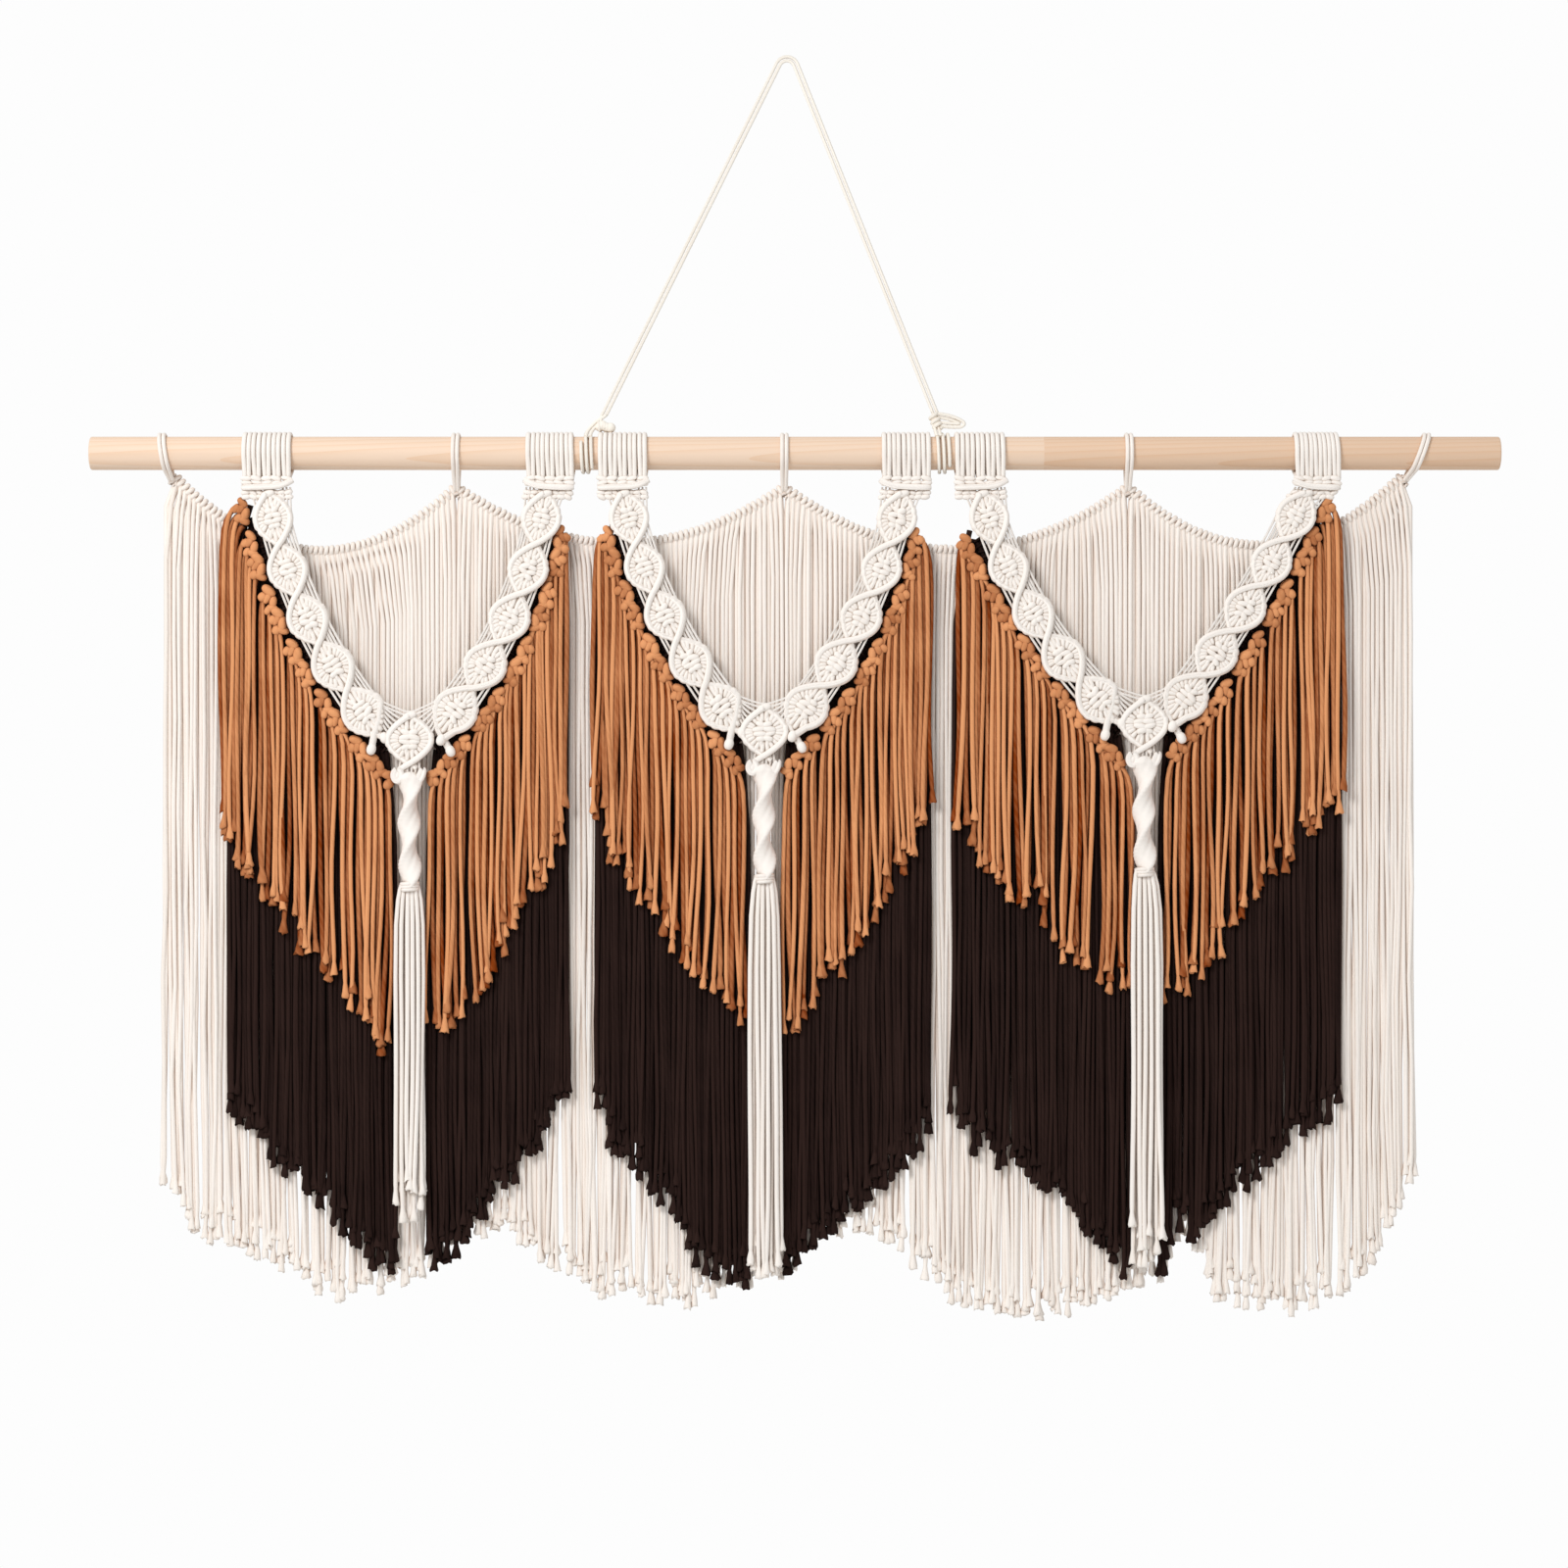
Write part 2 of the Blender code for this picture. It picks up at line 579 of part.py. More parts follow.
def rhombus(half_width, half_height, depth, centre):
    """An upright plate with four corners whose back is at the straps' back."""
    bm = bmesh.new()
    bmesh.ops.create_cone(bm, cap_ends=True, segments=4, radius1=1, radius2=1, depth=1)
    bmesh.ops.rotate(bm, cent=(0, 0, 0), matrix=Matrix.Rotation(math.pi / 2, 3, 'X'),
                     verts=bm.verts[:])
    bmesh.ops.scale(bm, vec=(half_width, depth, half_height), verts=bm.verts[:])
    bmesh.ops.translate(bm, vec=(centre.x, STRAP_BACK - depth / 2, ROD_Z - centre.drop),
                        verts=bm.verts[:])
    return bm


def build_centre_diamond(number, centre):
    """A plate with a raised rim and a raised pad, the two straps' shared knot."""
    bm = rhombus(HEART_HALF_WIDTH, HEART_HALF_HEIGHT, HEART_DEPTH, centre)
    front = min(bm.faces, key=lambda face: face.calc_center_median().y)
    for thickness, rise in HEART_STEPS:
        bmesh.ops.inset_region(bm, faces=[front], thickness=thickness, depth=0.0)
        for vert in front.verts:
            vert.co.y -= rise
    object_from_bmesh(f"diamond_{number}", bm, WHITE_COTTON)


# ------------------------------------------------------------------ fringes on the straps
def build_fringes(row, seed):
    def chain(t):
        return bezier(row.chain, t)

    def dark_line(t):
        """Behind the gap between the strap and the brown knots."""
        return chain(t).lerp(bezier(row.strap, t), DARK_LINE_SHIFT)

    brown_flare = row.brown_hem[0][0] - row.chain[0][0]
    fringe(f"brown_{row.name}", BROWN_COTTON, chain, (brown_flare, 0), row.brown_hem, BROWN_STRANDS,
           BROWN_LAYER, BROWN_BAR, shoulder=BROWN_SHOULDER, gap=BROWN_GAP, seed=seed)
    dark_flare = row.dark_hem[0][0] - dark_line(0.0).x
    inner_flare = row.dark_hem[-1][0] - dark_line(1.0).x
    fringe(f"dark_{row.name}", DARK_COTTON, dark_line, (dark_flare, inner_flare), row.dark_hem,
           DARK_STRANDS,
           DARK_LAYER, DARK_BAR, shoulder=0, gap=DARK_GAP, seed=seed + len(STRAPS))


# ------------------------------------------------------------------ twisted cords and tassels
def sinnet(centre):
    """A column with an oval section that turns as it goes down, narrow at its top."""
    top_drop = centre.drop + HEART_HALF_HEIGHT + GAP
    length = centre.tie_drop - top_drop
    bm = bmesh.new()
    bmesh.ops.create_cone(bm, cap_ends=True, segments=SINNET_SIDES, radius1=1, radius2=1, depth=1)
    upright = [e for e in bm.edges if abs(e.verts[0].co.z - e.verts[1].co.z) > 0.5]
    bmesh.ops.subdivide_edges(bm, edges=upright, cuts=SINNET_RINGS - 1)
    for vert in bm.verts:
        share = 0.5 - vert.co.z
        angle = math.tau * share * length / SINNET_TURN
        swell = min(1.0, SINNET_TOP + (1 - SINNET_TOP) * share / SINNET_SHOULDER)
        x = vert.co.x * SINNET_WIDE * swell
        y = vert.co.y * SINNET_THIN * swell
        vert.co = (centre.x + x * math.cos(angle) - y * math.sin(angle),
                   SINNET_Y + x * math.sin(angle) + y * math.cos(angle),
                   ROD_Z - top_drop - share * length)
    return bm


def build_tassel(number, centre):
    """The twisted column under the centre diamond, its tie, and eight loose strands."""
    tassel = object_from_bmesh(f"tassel_{number}", sinnet(centre), WHITE_COTTON)

    half_width, half_depth, half_height = TASSEL_HEAD
    strand_width, strand_depth = TASSEL_STRAND
    step = (2 * half_width - TASSEL_ROOT) / 3
    columns_x = [i // 2 * step + i % 2 * TASSEL_ROOT - half_width for i in range(8)]
    columns_y = (-half_depth, strand_depth - half_depth, half_depth - strand_depth, half_depth)
    head, index = grid_box(7, 3, 1)
    roots = [face for face in head.faces
             if all(index[v][2] == 0 for v in face.verts)
             and min(index[v][0] for v in face.verts) % 2 == 0
             and min(index[v][1] for v in face.verts) % 2 == 0]
    for vert in head.verts:
        column, layer, top = index[vert]
        z = ROD_Z - centre.tie_drop + (half_height if top else -half_height)
        vert.co = (centre.x + columns_x[column], TASSEL_Y + columns_y[layer], z)

    def order(face):
        middle = face.calc_center_median()
        return (middle.y > TASSEL_Y, middle.x)

    rand = random.Random(number)
    knee, neck, tip = [], [], []
    for back in (-1, 1):
        y = TASSEL_Y + back * (half_depth - strand_depth / 2)
        for across in (-1.5, -0.5, 0.5, 1.5):
            x = centre.foot_x + across * TASSEL_SPREAD
            z = ROD_Z - centre.foot_drop + rand.uniform(2 * UNEVEN[0], 2 * UNEVEN[1])
            knee.append((centre.x + across * TASSEL_SPREAD * TIP_NECK, y,
                         ROD_Z - centre.tie_drop - TASSEL_KNEE, strand_width * TIP_NECK,
                         strand_depth))
            neck.append((x, y, z + TIP_HEIGHT, strand_width * TIP_NECK, strand_depth))
            tip.append((x, y, z, strand_width, strand_depth))
    extrude_strands(head, roots, order, (knee, neck, tip))
    boolean(tassel, object_from_bmesh(f"tassel_head_{number}", head, collection=cutters), 'UNION')


# ------------------------------------------------------------------ the whole hanging
build_rod()
build_hanging_cord()
build_hanging_knots()
build_curtain_loops()
build_curtain()
for place, strap_row in enumerate(STRAPS):
    build_strap(strap_row, CENTRES[place // 2])
    build_fringes(strap_row, seed=10 + place)
for place, centre_row in enumerate(CENTRES, 1):
    build_centre_diamond(place, centre_row)
    build_tassel(place, centre_row)
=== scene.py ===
"""The looks of a macrame wall hanging: cotton cords knotted on a pine rod, with a cord to hang it.

Metres, +X to the viewer's right, -Y towards the viewer, +Z up. A "drop" is a height measured down
from the rod's axis.
"""

import math
from collections import namedtuple

import bmesh
import bpy
import numpy as np
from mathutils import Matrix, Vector


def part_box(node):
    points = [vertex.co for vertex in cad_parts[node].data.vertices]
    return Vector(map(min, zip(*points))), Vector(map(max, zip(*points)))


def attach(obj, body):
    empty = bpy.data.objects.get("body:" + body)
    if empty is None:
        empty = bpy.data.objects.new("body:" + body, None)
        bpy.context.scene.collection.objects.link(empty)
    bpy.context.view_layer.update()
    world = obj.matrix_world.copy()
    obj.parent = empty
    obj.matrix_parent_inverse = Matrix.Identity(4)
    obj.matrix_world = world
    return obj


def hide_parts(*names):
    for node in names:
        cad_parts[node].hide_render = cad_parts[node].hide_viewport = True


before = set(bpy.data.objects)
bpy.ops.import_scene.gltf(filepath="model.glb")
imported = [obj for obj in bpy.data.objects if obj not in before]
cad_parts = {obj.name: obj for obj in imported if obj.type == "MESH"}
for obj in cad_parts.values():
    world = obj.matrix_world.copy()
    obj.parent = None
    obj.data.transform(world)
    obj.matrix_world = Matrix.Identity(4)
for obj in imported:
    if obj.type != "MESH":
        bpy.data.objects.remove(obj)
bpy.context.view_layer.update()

# ------------------------------------------------------------------ studio
# A round pale floor two metres below the top of the cord, a white surround and one large soft
# lamp at the upper left. The camera faces the hanging squarely, as in the photograph.
PHOTO_PIXELS = 1600
PIXEL = 0.0007376               # what a pixel of the photograph spans at the hanging
APEX_PIXEL = (803, 60)          # the origin in the photograph
LENS = 100                      # millimetres, as the sensor is
SENSOR = 36
FLOOR_Z = -2.0
FLOOR_RADIUS = 4.5
SURROUND_GLOW = 1.0             # as the camera sees it
SURROUND_FILL = 0.63            # as it lights the hanging
LAMP_PLACE = Vector((-1.7, -2.7, 1.3))
LAMP_SIZE = 1.1
LAMP_POWER = 68


def linear(colour):
    """An sRGB hex colour as linear red, green, blue and alpha."""
    parts = [int(colour[i:i + 2], 16) / 255 for i in (1, 3, 5)]
    return (*[c / 12.92 if c <= 0.04045 else ((c + 0.055) / 1.055) ** 2.4 for c in parts], 1.0)


def set_node(node, settings):
    """Each setting is a property's value, a socket's value, or a socket or a node to link from."""
    for key, value in settings.items():
        if isinstance(value, bpy.types.Node):
            value = value.outputs[0]
        if isinstance(key, str) and key not in node.inputs:
            setattr(node, key, value)
        elif isinstance(value, bpy.types.NodeSocket):
            node.id_data.links.new(value, node.inputs[key])
        else:
            node.inputs[key].default_value = value


def add_node(tree, kind, settings):
    node = tree.nodes.new("ShaderNode" + kind)
    set_node(node, settings)
    return node


def new_material(name):
    """A material, and its shader."""
    material = bpy.data.materials.new(name)
    material.use_nodes = True
    return material, material.node_tree.nodes["Principled BSDF"]


def add_object(name, data):
    obj = bpy.data.objects.new(name, data)
    bpy.context.scene.collection.objects.link(obj)
    return obj


def mesh_object(name, bm, material):
    mesh = bpy.data.meshes.new(name)
    bm.to_mesh(mesh)
    bm.free()
    mesh.materials.append(material)
    return add_object(name, mesh)


middle = Vector(((PHOTO_PIXELS / 2 - APEX_PIXEL[0]) * PIXEL, 0,
                 (APEX_PIXEL[1] - PHOTO_PIXELS / 2) * PIXEL))
camera = add_object("camera", bpy.data.cameras.new("camera"))
camera.data.lens = LENS
camera.data.sensor_width = SENSOR
camera.location = middle - Vector((0, PHOTO_PIXELS * PIXEL * LENS / SENSOR, 0))
camera.rotation_euler = (math.radians(90), 0, 0)
bpy.context.scene.camera = camera
bpy.context.scene.view_settings.view_transform = "Standard"

lamp = add_object("soft lamp", bpy.data.lights.new("soft lamp", "AREA"))
lamp.data.energy = LAMP_POWER
lamp.data.size = LAMP_SIZE
lamp.location = LAMP_PLACE
lamp.rotation_euler = (middle - LAMP_PLACE).to_track_quat("-Z", "Y").to_euler()

world = bpy.data.worlds.new("white surround")
world.use_nodes = True
bpy.context.scene.world = world
rays = add_node(world.node_tree, "LightPath", {})
glow = add_node(world.node_tree, "Math", {
    "operation": "MULTIPLY_ADD", 0: rays.outputs["Is Camera Ray"],
    1: SURROUND_GLOW - SURROUND_FILL, 2: SURROUND_FILL})
set_node(world.node_tree.nodes["Background"], {"Color": linear("#FDFDFD"), "Strength": glow})

floor_paint, shader = new_material("matt floor paint")
set_node(shader, {"Base Color": linear("#F4F3F1"), "Roughness": 0.9})
bm = bmesh.new()
bmesh.ops.create_circle(bm, cap_ends=True, segments=96, radius=FLOOR_RADIUS)
bmesh.ops.translate(bm, vec=(0, 0, FLOOR_Z), verts=bm.verts[:])
mesh_object("floor", bm, floor_paint)

# ------------------------------------------------------------------ hanging cord
# A thin three-ply cotton cord taken double: two strands side by side rise from the left knot to
# the bend at the top and come down to the right knot, pulled straight by the hanging's weight.
rod_low, rod_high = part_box("rod")
ROD_Z = (rod_low.z + rod_high.z) / 2
ROD_RADIUS = (rod_high.z - rod_low.z) / 2

CORD_DIAMETER = 0.0028
CORD_OFFSETS = {"outer": 0.00155, "inner": -0.00155}    # of the two strands from their middle
CORD_BEND_RADIUS = 0.0072
CORD_LEANS = (math.radians(26.4), math.radians(21.8))
CORD_ENDS = (0.0288, 0.0306)    # above the rod's axis
CORD_RING = 0.0011              # between the tube's rings
CORD_BEND_RINGS = 22
PLIES = 3
PLY_STEP = 0.0042               # between one ply and the next, along the cord
PLY_DEPTH = 0.04                # of the groove between plies, as a share of the radius
CORD_SIDES = 10

Stock = namedtuple("Stock", "mesh ring side reach corner_vertex corner_u")
stocks = {}


def cord_stock(sides, rings):
    """A straight closed tube with so many sides and rings, to be bent into cords."""
    if (sides, rings) in stocks:
        return stocks[sides, rings]
    bm = bmesh.new()
    bmesh.ops.create_cone(bm, cap_ends=True, segments=sides, radius1=1, radius2=1, depth=1)
    upright = [e for e in bm.edges if abs(e.verts[0].co.z - e.verts[1].co.z) > 0.5]
    bmesh.ops.subdivide_edges(bm, edges=upright, cuts=rings - 2)
    bmesh.ops.poke(bm, faces=[f for f in bm.faces if abs(f.normal.z) > 0.5])
    for face in bm.faces:
        face.smooth = abs(face.calc_center_median().z) < 0.4999
    mesh = bpy.data.meshes.new("stock")
    bm.to_mesh(mesh)
    bm.free()
    place = np.empty(len(mesh.vertices) * 3)
    mesh.vertices.foreach_get("co", place)
    place = place.reshape(-1, 3)
    turn = np.arctan2(place[:, 1], place[:, 0]) / math.tau % 1
    reach = np.hypot(place[:, 0], place[:, 1]).round(3)
    corner_vertex = np.empty(len(mesh.loops), int)
    mesh.loops.foreach_get("vertex_index", corner_vertex)
    corner_u = turn[corner_vertex]
    for face in mesh.polygons:          # across the seam, u goes on past 1
        corners = slice(face.loop_start, face.loop_start + face.loop_total)
        if np.ptp(corner_u[corners]) > 0.5:
            corner_u[corners] += corner_u[corners] < 0.5
    stocks[sides, rings] = Stock(mesh, ((place[:, 2] + 0.5) * (rings - 1)).round().astype(int),
                                 (turn * sides).round().astype(int) % sides, reach,
                                 corner_vertex, corner_u)
    return stocks[sides, rings]


def unit(vectors):
    vectors = np.asarray(vectors, float)
    return vectors / np.linalg.norm(vectors, axis=-1, keepdims=True)


def dress(obj, node):
    """Put the object in a node's place, on the part's one body."""
    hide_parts(node)
    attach(obj, "root")


def lengths_along(points):
    """How far along the line each of its points lies."""
    return np.concatenate([[0], np.cumsum(np.linalg.norm(np.diff(points, axis=0), axis=1))])


class Cords:
    """Lengths of cord laid one by one into one mesh."""

    def __init__(self):
        self.bm, self.places, self.uvs, self.tints = bmesh.new(), [], [], []

    def lay(self, points, radius, tint, sides=8, slip=None):
        """Bend a tube along the points. The radius, and how far each point slips along the cord,
        may be one number, one for each ring, or one for each ring and side."""
        points = np.asarray(points, float)
        rings = len(points)
        stock = cord_stock(sides, rings)
        way = unit(np.gradient(points, axis=0))
        side = np.cross(way[0], (0, 1, 0))
        if np.linalg.norm(side) < 0.2:
            side = np.cross(way[0], (1, 0, 0))
        across = []
        for direction in way:
            side = unit(side - direction * side.dot(direction))
            across.append(side)
        across = np.array(across)
        other = np.cross(way, across)
        radius = np.asarray(radius, float)
        if radius.ndim == 1:
            radius = radius[:, None]
        radius = np.broadcast_to(radius, (rings, sides))
        ring, angle = stock.ring, stock.side * math.tau / sides
        reach = (stock.reach * radius[ring, stock.side])[:, None]
        place = points[ring] + reach * (np.cos(angle)[:, None] * across[ring]
                                        + np.sin(angle)[:, None] * other[ring])
        if slip is not None:
            place += np.where(stock.reach > 0, slip[ring, stock.side],
                              slip[ring].mean(axis=1) * 2)[:, None] * way[ring]
        along = lengths_along(points)
        self.bm.from_mesh(stock.mesh)
        self.places.append(place)
        self.uvs.append(np.stack([stock.corner_u, along[ring[stock.corner_vertex]]], axis=1))
        self.tints.append(np.full(len(place), tint))

    def finish(self, name, material, node):
        """Make the object, which takes the place of a node."""
        obj = mesh_object(name, self.bm, material)
        mesh = obj.data
        mesh.vertices.foreach_set("co", np.concatenate(self.places).ravel())
        mesh.uv_layers.new(name="cord").uv.foreach_set("vector", np.concatenate(self.uvs).ravel())
        tint = mesh.attributes.new("tint", "FLOAT", "POINT")
        tint.data.foreach_set("value", np.concatenate(self.tints))
        mesh.update()
        dress(obj, node)
        return obj


def cotton(name, light, shade, painted_crevice_shade, reach, gloss=0.2, ply_step=0.0085, relief=0.0003):
    """Matt cotton cord. Its plies and fibres wind round it on its own UV map, whose u goes once
    round the cord and whose v runs along it in metres, so they follow every bend. Its colour runs
    from the shade colour to the light one by the cord's tint, by random patches and a little by its
    plies, whose grooves are painted a little darker: painted shade. Where an ambient occlusion node
    finds other cords closer than the reach, the colour is mixed towards the crevice colour: painted
    shade between the cords."""
    material, shader = new_material(name)
    tree = material.node_tree
    place = add_node(tree, "SeparateXYZ", {0: add_node(tree, "UVMap", {"uv_map": "cord"})})
    waves = []
    for count, step in ((PLIES, ply_step), (4 * PLIES - 1, ply_step / 3)):
        along = add_node(tree, "Math", {
            "operation": "MULTIPLY", 0: place.outputs["Y"], 1: math.tau / step})
        turned = add_node(tree, "Math", {
            "operation": "MULTIPLY_ADD", 0: place.outputs["X"], 1: math.tau * count,
            2: along})
        waves.append(add_node(tree, "Math", {"operation": "COSINE", 0: turned}))
    ply, fibre = waves
    spot = add_node(tree, "TexCoord", {})
    fuzz = add_node(tree, "TexNoise", {
        "Vector": spot.outputs["Object"], "Scale": 1 / 0.0009, "Detail": 3.0})
    rough = add_node(tree, "Math", {
        "operation": "MULTIPLY_ADD", 0: fibre, 1: 0.16, 2: fuzz.outputs["Fac"]})
    height = add_node(tree, "Math", {"operation": "MULTIPLY_ADD", 0: ply, 1: 0.22, 2: rough})
    bump = add_node(tree, "Bump", {"Strength": 0.45, "Distance": relief, "Height": height})

    tint = add_node(tree, "Attribute", {"attribute_name": "tint"})
    patches = add_node(tree, "TexNoise", {
        "Vector": spot.outputs["Object"], "Scale": 1 / 0.03, "Detail": 2.0})
    patchy = add_node(tree, "Math", {
        "operation": "MULTIPLY_ADD", 0: patches.outputs["Fac"], 1: 0.5, 2: 0.25})
    # the ply wave paints the grooves between plies a little darker: painted shade; the patches are
    # random tone
    share = add_node(tree, "Math", {"operation": "MULTIPLY_ADD", 0: ply, 1: 0.04, 2: patchy})
    factor = add_node(tree, "Math", {
        "operation": "MULTIPLY_ADD", 0: tint.outputs["Fac"], 1: 0.7, 2: share,
        "use_clamp": True})
    even = add_node(tree, "MapRange", {"Value": factor, "From Min": 0.3, "From Max": 1.1})
    colour = add_node(tree, "Mix", {
        "data_type": "RGBA", "Factor": even, 6: linear(shade), 7: linear(light)})
    # painted shade: the colour darkens towards the crevice colour where other cords lie within the
    # reach
    opening = add_node(tree, "AmbientOcclusion", {"samples": 5, "Distance": reach})
    open_share = add_node(tree, "MapRange", {
        "Value": opening.outputs["AO"], "From Min": 0.22, "From Max": 0.78})
    painted_shade_mix = add_node(tree, "Mix", {
        "data_type": "RGBA", "Factor": open_share, 6: linear(painted_crevice_shade),
        7: colour.outputs[2]})
    set_node(shader, {
        "Base Color": painted_shade_mix.outputs[2], "Normal": bump, "Roughness": 0.88,
        "Specular IOR Level": gloss, "Sheen Weight": gloss, "Sheen Roughness": 0.45,
        "Sheen Tint": linear(light)})
    return material


def hanging_line(offset, step=CORD_RING, bend_points=CORD_BEND_RINGS):
    """The way from the left knot to the right one, offset outwards from the pair's middle."""
    radius = CORD_BEND_RADIUS + offset
    left, right = CORD_LEANS
    angles = np.linspace(math.pi - left, right, bend_points)
    bend = np.stack([radius * np.cos(angles), np.zeros(len(angles)),
                     radius * np.sin(angles) - CORD_BEND_RADIUS], axis=1)
    runs = []
    for end, lean, way in ((0, left, (-math.sin(left), 0, -math.cos(left))),
                           (-1, right, (math.sin(right), 0, -math.cos(right)))):
        length = (bend[end][2] - ROD_Z - CORD_ENDS[end]) / math.cos(lean)
        steps = np.linspace(0, length, round(length / step) + 1)[1:]
        runs.append(bend[end] + np.outer(steps, way))
    return np.concatenate([runs[0][::-1], bend, runs[1]])


def plied(points, thickness):
    """Radii of a three-ply cord of that thickness along the points, grooved between its plies."""
    along = lengths_along(points)
    angle = np.arange(CORD_SIDES) * math.tau / CORD_SIDES
    wave = np.cos(PLIES * angle[None, :] - math.tau * along[:, None] / PLY_STEP)
    return thickness / 2 * (1 + PLY_DEPTH * (wave - 0.5))


hanging_cotton = cotton("thin plied cotton cord", "#FAF5EC", "#EBDFD0", "#DCCDBB", 0.003,
                        ply_step=PLY_STEP, relief=0.00014)
for place, offset in CORD_OFFSETS.items():
    line = hanging_line(offset)
    cords = Cords()
    cords.lay(line, plied(line, CORD_DIAMETER), 0.6, CORD_SIDES)
    strand = cords.finish(f"hanging_strand_{place}", hanging_cotton, f"hang_cord_{place}")
    length = float(np.linalg.norm(np.diff(line, axis=0), axis=1).sum())

# ------------------------------------------------------------------ rod
# A 25 mm round pine dowel, sanded and left bare, sawn square with its edges just eased. Two
# lengths are finger-jointed right of the middle, where the grain and the tone change.
ROD_EDGE = 0.0012
ROD_SIDES = 96
JOINT_X = 0.193
GROWTH_RING = 0.0036
GRAIN_PATCH = (0.5, 0.004)      # length and width of a streak

pine, shader = new_material("sanded pine")
tree = pine.node_tree
spot = add_node(tree, "TexCoord", {})
place = add_node(tree, "SeparateXYZ", {0: spot.outputs["Object"]})
second = add_node(tree, "Math", {"operation": "GREATER_THAN", 0: place.outputs["X"], 1: JOINT_X})
shift = add_node(tree, "VectorMath", {
    "operation": "SCALE", 0: (0.31, 0.021, 0.034), "Scale": second})
moved = add_node(tree, "VectorMath", {"operation": "ADD", 0: spot.outputs["Object"], 1: shift})
# The tree's heart lay a few centimetres off, at a slight slant, so the rings draw long flames.
turned = add_node(tree, "Mapping", {
    "Vector": moved, "Location": (0, 0.034, -ROD_Z + 0.013),
    "Rotation": (0, math.radians(0.9), math.radians(-1.3))})
wander = add_node(tree, "TexNoise", {
    "Vector": add_node(tree, "Mapping", {"Vector": moved, "Scale": (4, 30, 30)}),
    "Scale": 1.0, "Detail": 2.0})
pushed = add_node(tree, "VectorMath", {
    "operation": "MULTIPLY_ADD", 0: wander.outputs["Color"], 1: (0, 0.006, 0.006),
    2: turned})
rings = add_node(tree, "TexWave", {
    "wave_type": "RINGS", "rings_direction": "X", "wave_profile": "SAW",
    "Vector": pushed, "Scale": math.tau / 20 / GROWTH_RING})
streaks = add_node(tree, "TexNoise", {
    "Vector": add_node(tree, "Mapping", {
        "Vector": moved,
        "Scale": (1 / GRAIN_PATCH[0], 1 / GRAIN_PATCH[1], 1 / GRAIN_PATCH[1])}),
    "Scale": 1.0, "Detail": 4.0})
pores = add_node(tree, "TexNoise", {
    "Vector": add_node(tree, "Mapping", {"Vector": moved, "Scale": (90, 2600, 2600)}),
    "Scale": 1.0, "Detail": 2.0})
late_wood = add_node(tree, "Math", {"operation": "POWER", 0: rings.outputs["Fac"], 1: 3.0})
wood = add_node(tree, "Mix", {
    "data_type": "RGBA", "Factor": streaks.outputs["Fac"], 6: linear("#F3DAC4"),
    7: linear("#EACEB5")})
ringed = add_node(tree, "Mix", {
    "data_type": "RGBA", "blend_type": "MULTIPLY", "Factor": late_wood,
    6: wood.outputs[2], 7: linear("#FAF1E7")})
toned = add_node(tree, "Mix", {
    "data_type": "RGBA", "blend_type": "MULTIPLY", "Factor": second,
    6: ringed.outputs[2], 7: linear("#F8F1EA")})
relief = add_node(tree, "Math", {
    "operation": "MULTIPLY_ADD", 0: late_wood, 1: 0.5, 2: pores.outputs["Fac"]})
bump = add_node(tree, "Bump", {"Strength": 0.25, "Distance": 0.0002, "Height": relief})
set_node(shader, {"Base Color": toned.outputs[2], "Normal": bump, "Roughness": 0.58,
                  "Specular IOR Level": 0.35})

bm = bmesh.new()
bmesh.ops.create_cone(bm, cap_ends=True, segments=ROD_SIDES, radius1=ROD_RADIUS,
                      radius2=ROD_RADIUS, depth=rod_high.x - rod_low.x)
rims = [e for e in bm.edges if abs(e.verts[0].co.z - e.verts[1].co.z) < ROD_EDGE]
bmesh.ops.bevel(bm, geom=rims, offset=ROD_EDGE, offset_type="OFFSET", affect="EDGES", segments=3,
                profile=0.5, material=-1)
for vert in bm.verts:
    x = (rod_low.x + rod_high.x) / 2 + vert.co.z
    vert.co = (x, vert.co.y, ROD_Z - vert.co.x)
for face in bm.faces:
    face.smooth = len(face.verts) == 4
dress(mesh_object("dowel", bm, pine), "rod")

# ------------------------------------------------------------------ hanging cord's knots
# At each end the two strands take two turns round the rod and are tied off on top of it in a
# tight barrel of turns. The right-hand knot's spare cord stands out of it in two flat loops.
KNOT_CORD = 0.0015              # radius
TURN_RADIUS = ROD_RADIUS + KNOT_CORD + 0.0002


def smooth_line(points, rings):
    """A smooth line through the points, as that many places along it."""
    points = np.asarray(points, float)
    padded = np.vstack([2 * points[0] - points[1], points, 2 * points[-1] - points[-2]])
    share = np.linspace(0, len(points) - 1, rings)
    first = np.minimum(share.astype(int), len(points) - 2)
    t = (share - first)[:, None]
    a, b, c, d = (padded[first + i] for i in range(4))
    return 0.5 * (2 * b + (c - a) * t + (2 * a - 5 * b + 4 * c - d) * t ** 2
                  + (3 * b - a - 3 * c + d) * t ** 3)


def coil(start, end, radius, turns, rings, phase=0.0):
    """Places along a coil round the line from start to end."""
    start, end = np.array(start, float), np.array(end, float)
    axis = unit(end - start)
    side = unit(np.cross(axis, (0, 1, 0)))
    share = np.linspace(0, 1, rings)[:, None]
    angle = math.tau * turns * share + phase
    return (start + (end - start) * share
            + radius * (np.cos(angle) * side + np.sin(angle) * np.cross(axis, side)))


def over_rod(x, y, height):
    """A place given by its height above the rod's axis."""
    return (x, y, ROD_Z + height)


def knot_cord(cords, points):
    """Lay a piece of the plied cord."""
    cords.lay(points, plied(points, 2 * KNOT_CORD), 0.55, CORD_SIDES)


def bulge(cords, place, way, length, thickness, tint):
    """A rounded lump of a knot."""
    angle = np.radians(np.linspace(-84, 84, 11))
    cords.lay(place + np.outer(np.sin(angle) * length / 2, unit(way)),
              thickness * np.cos(angle) ** 0.8, tint, 12)


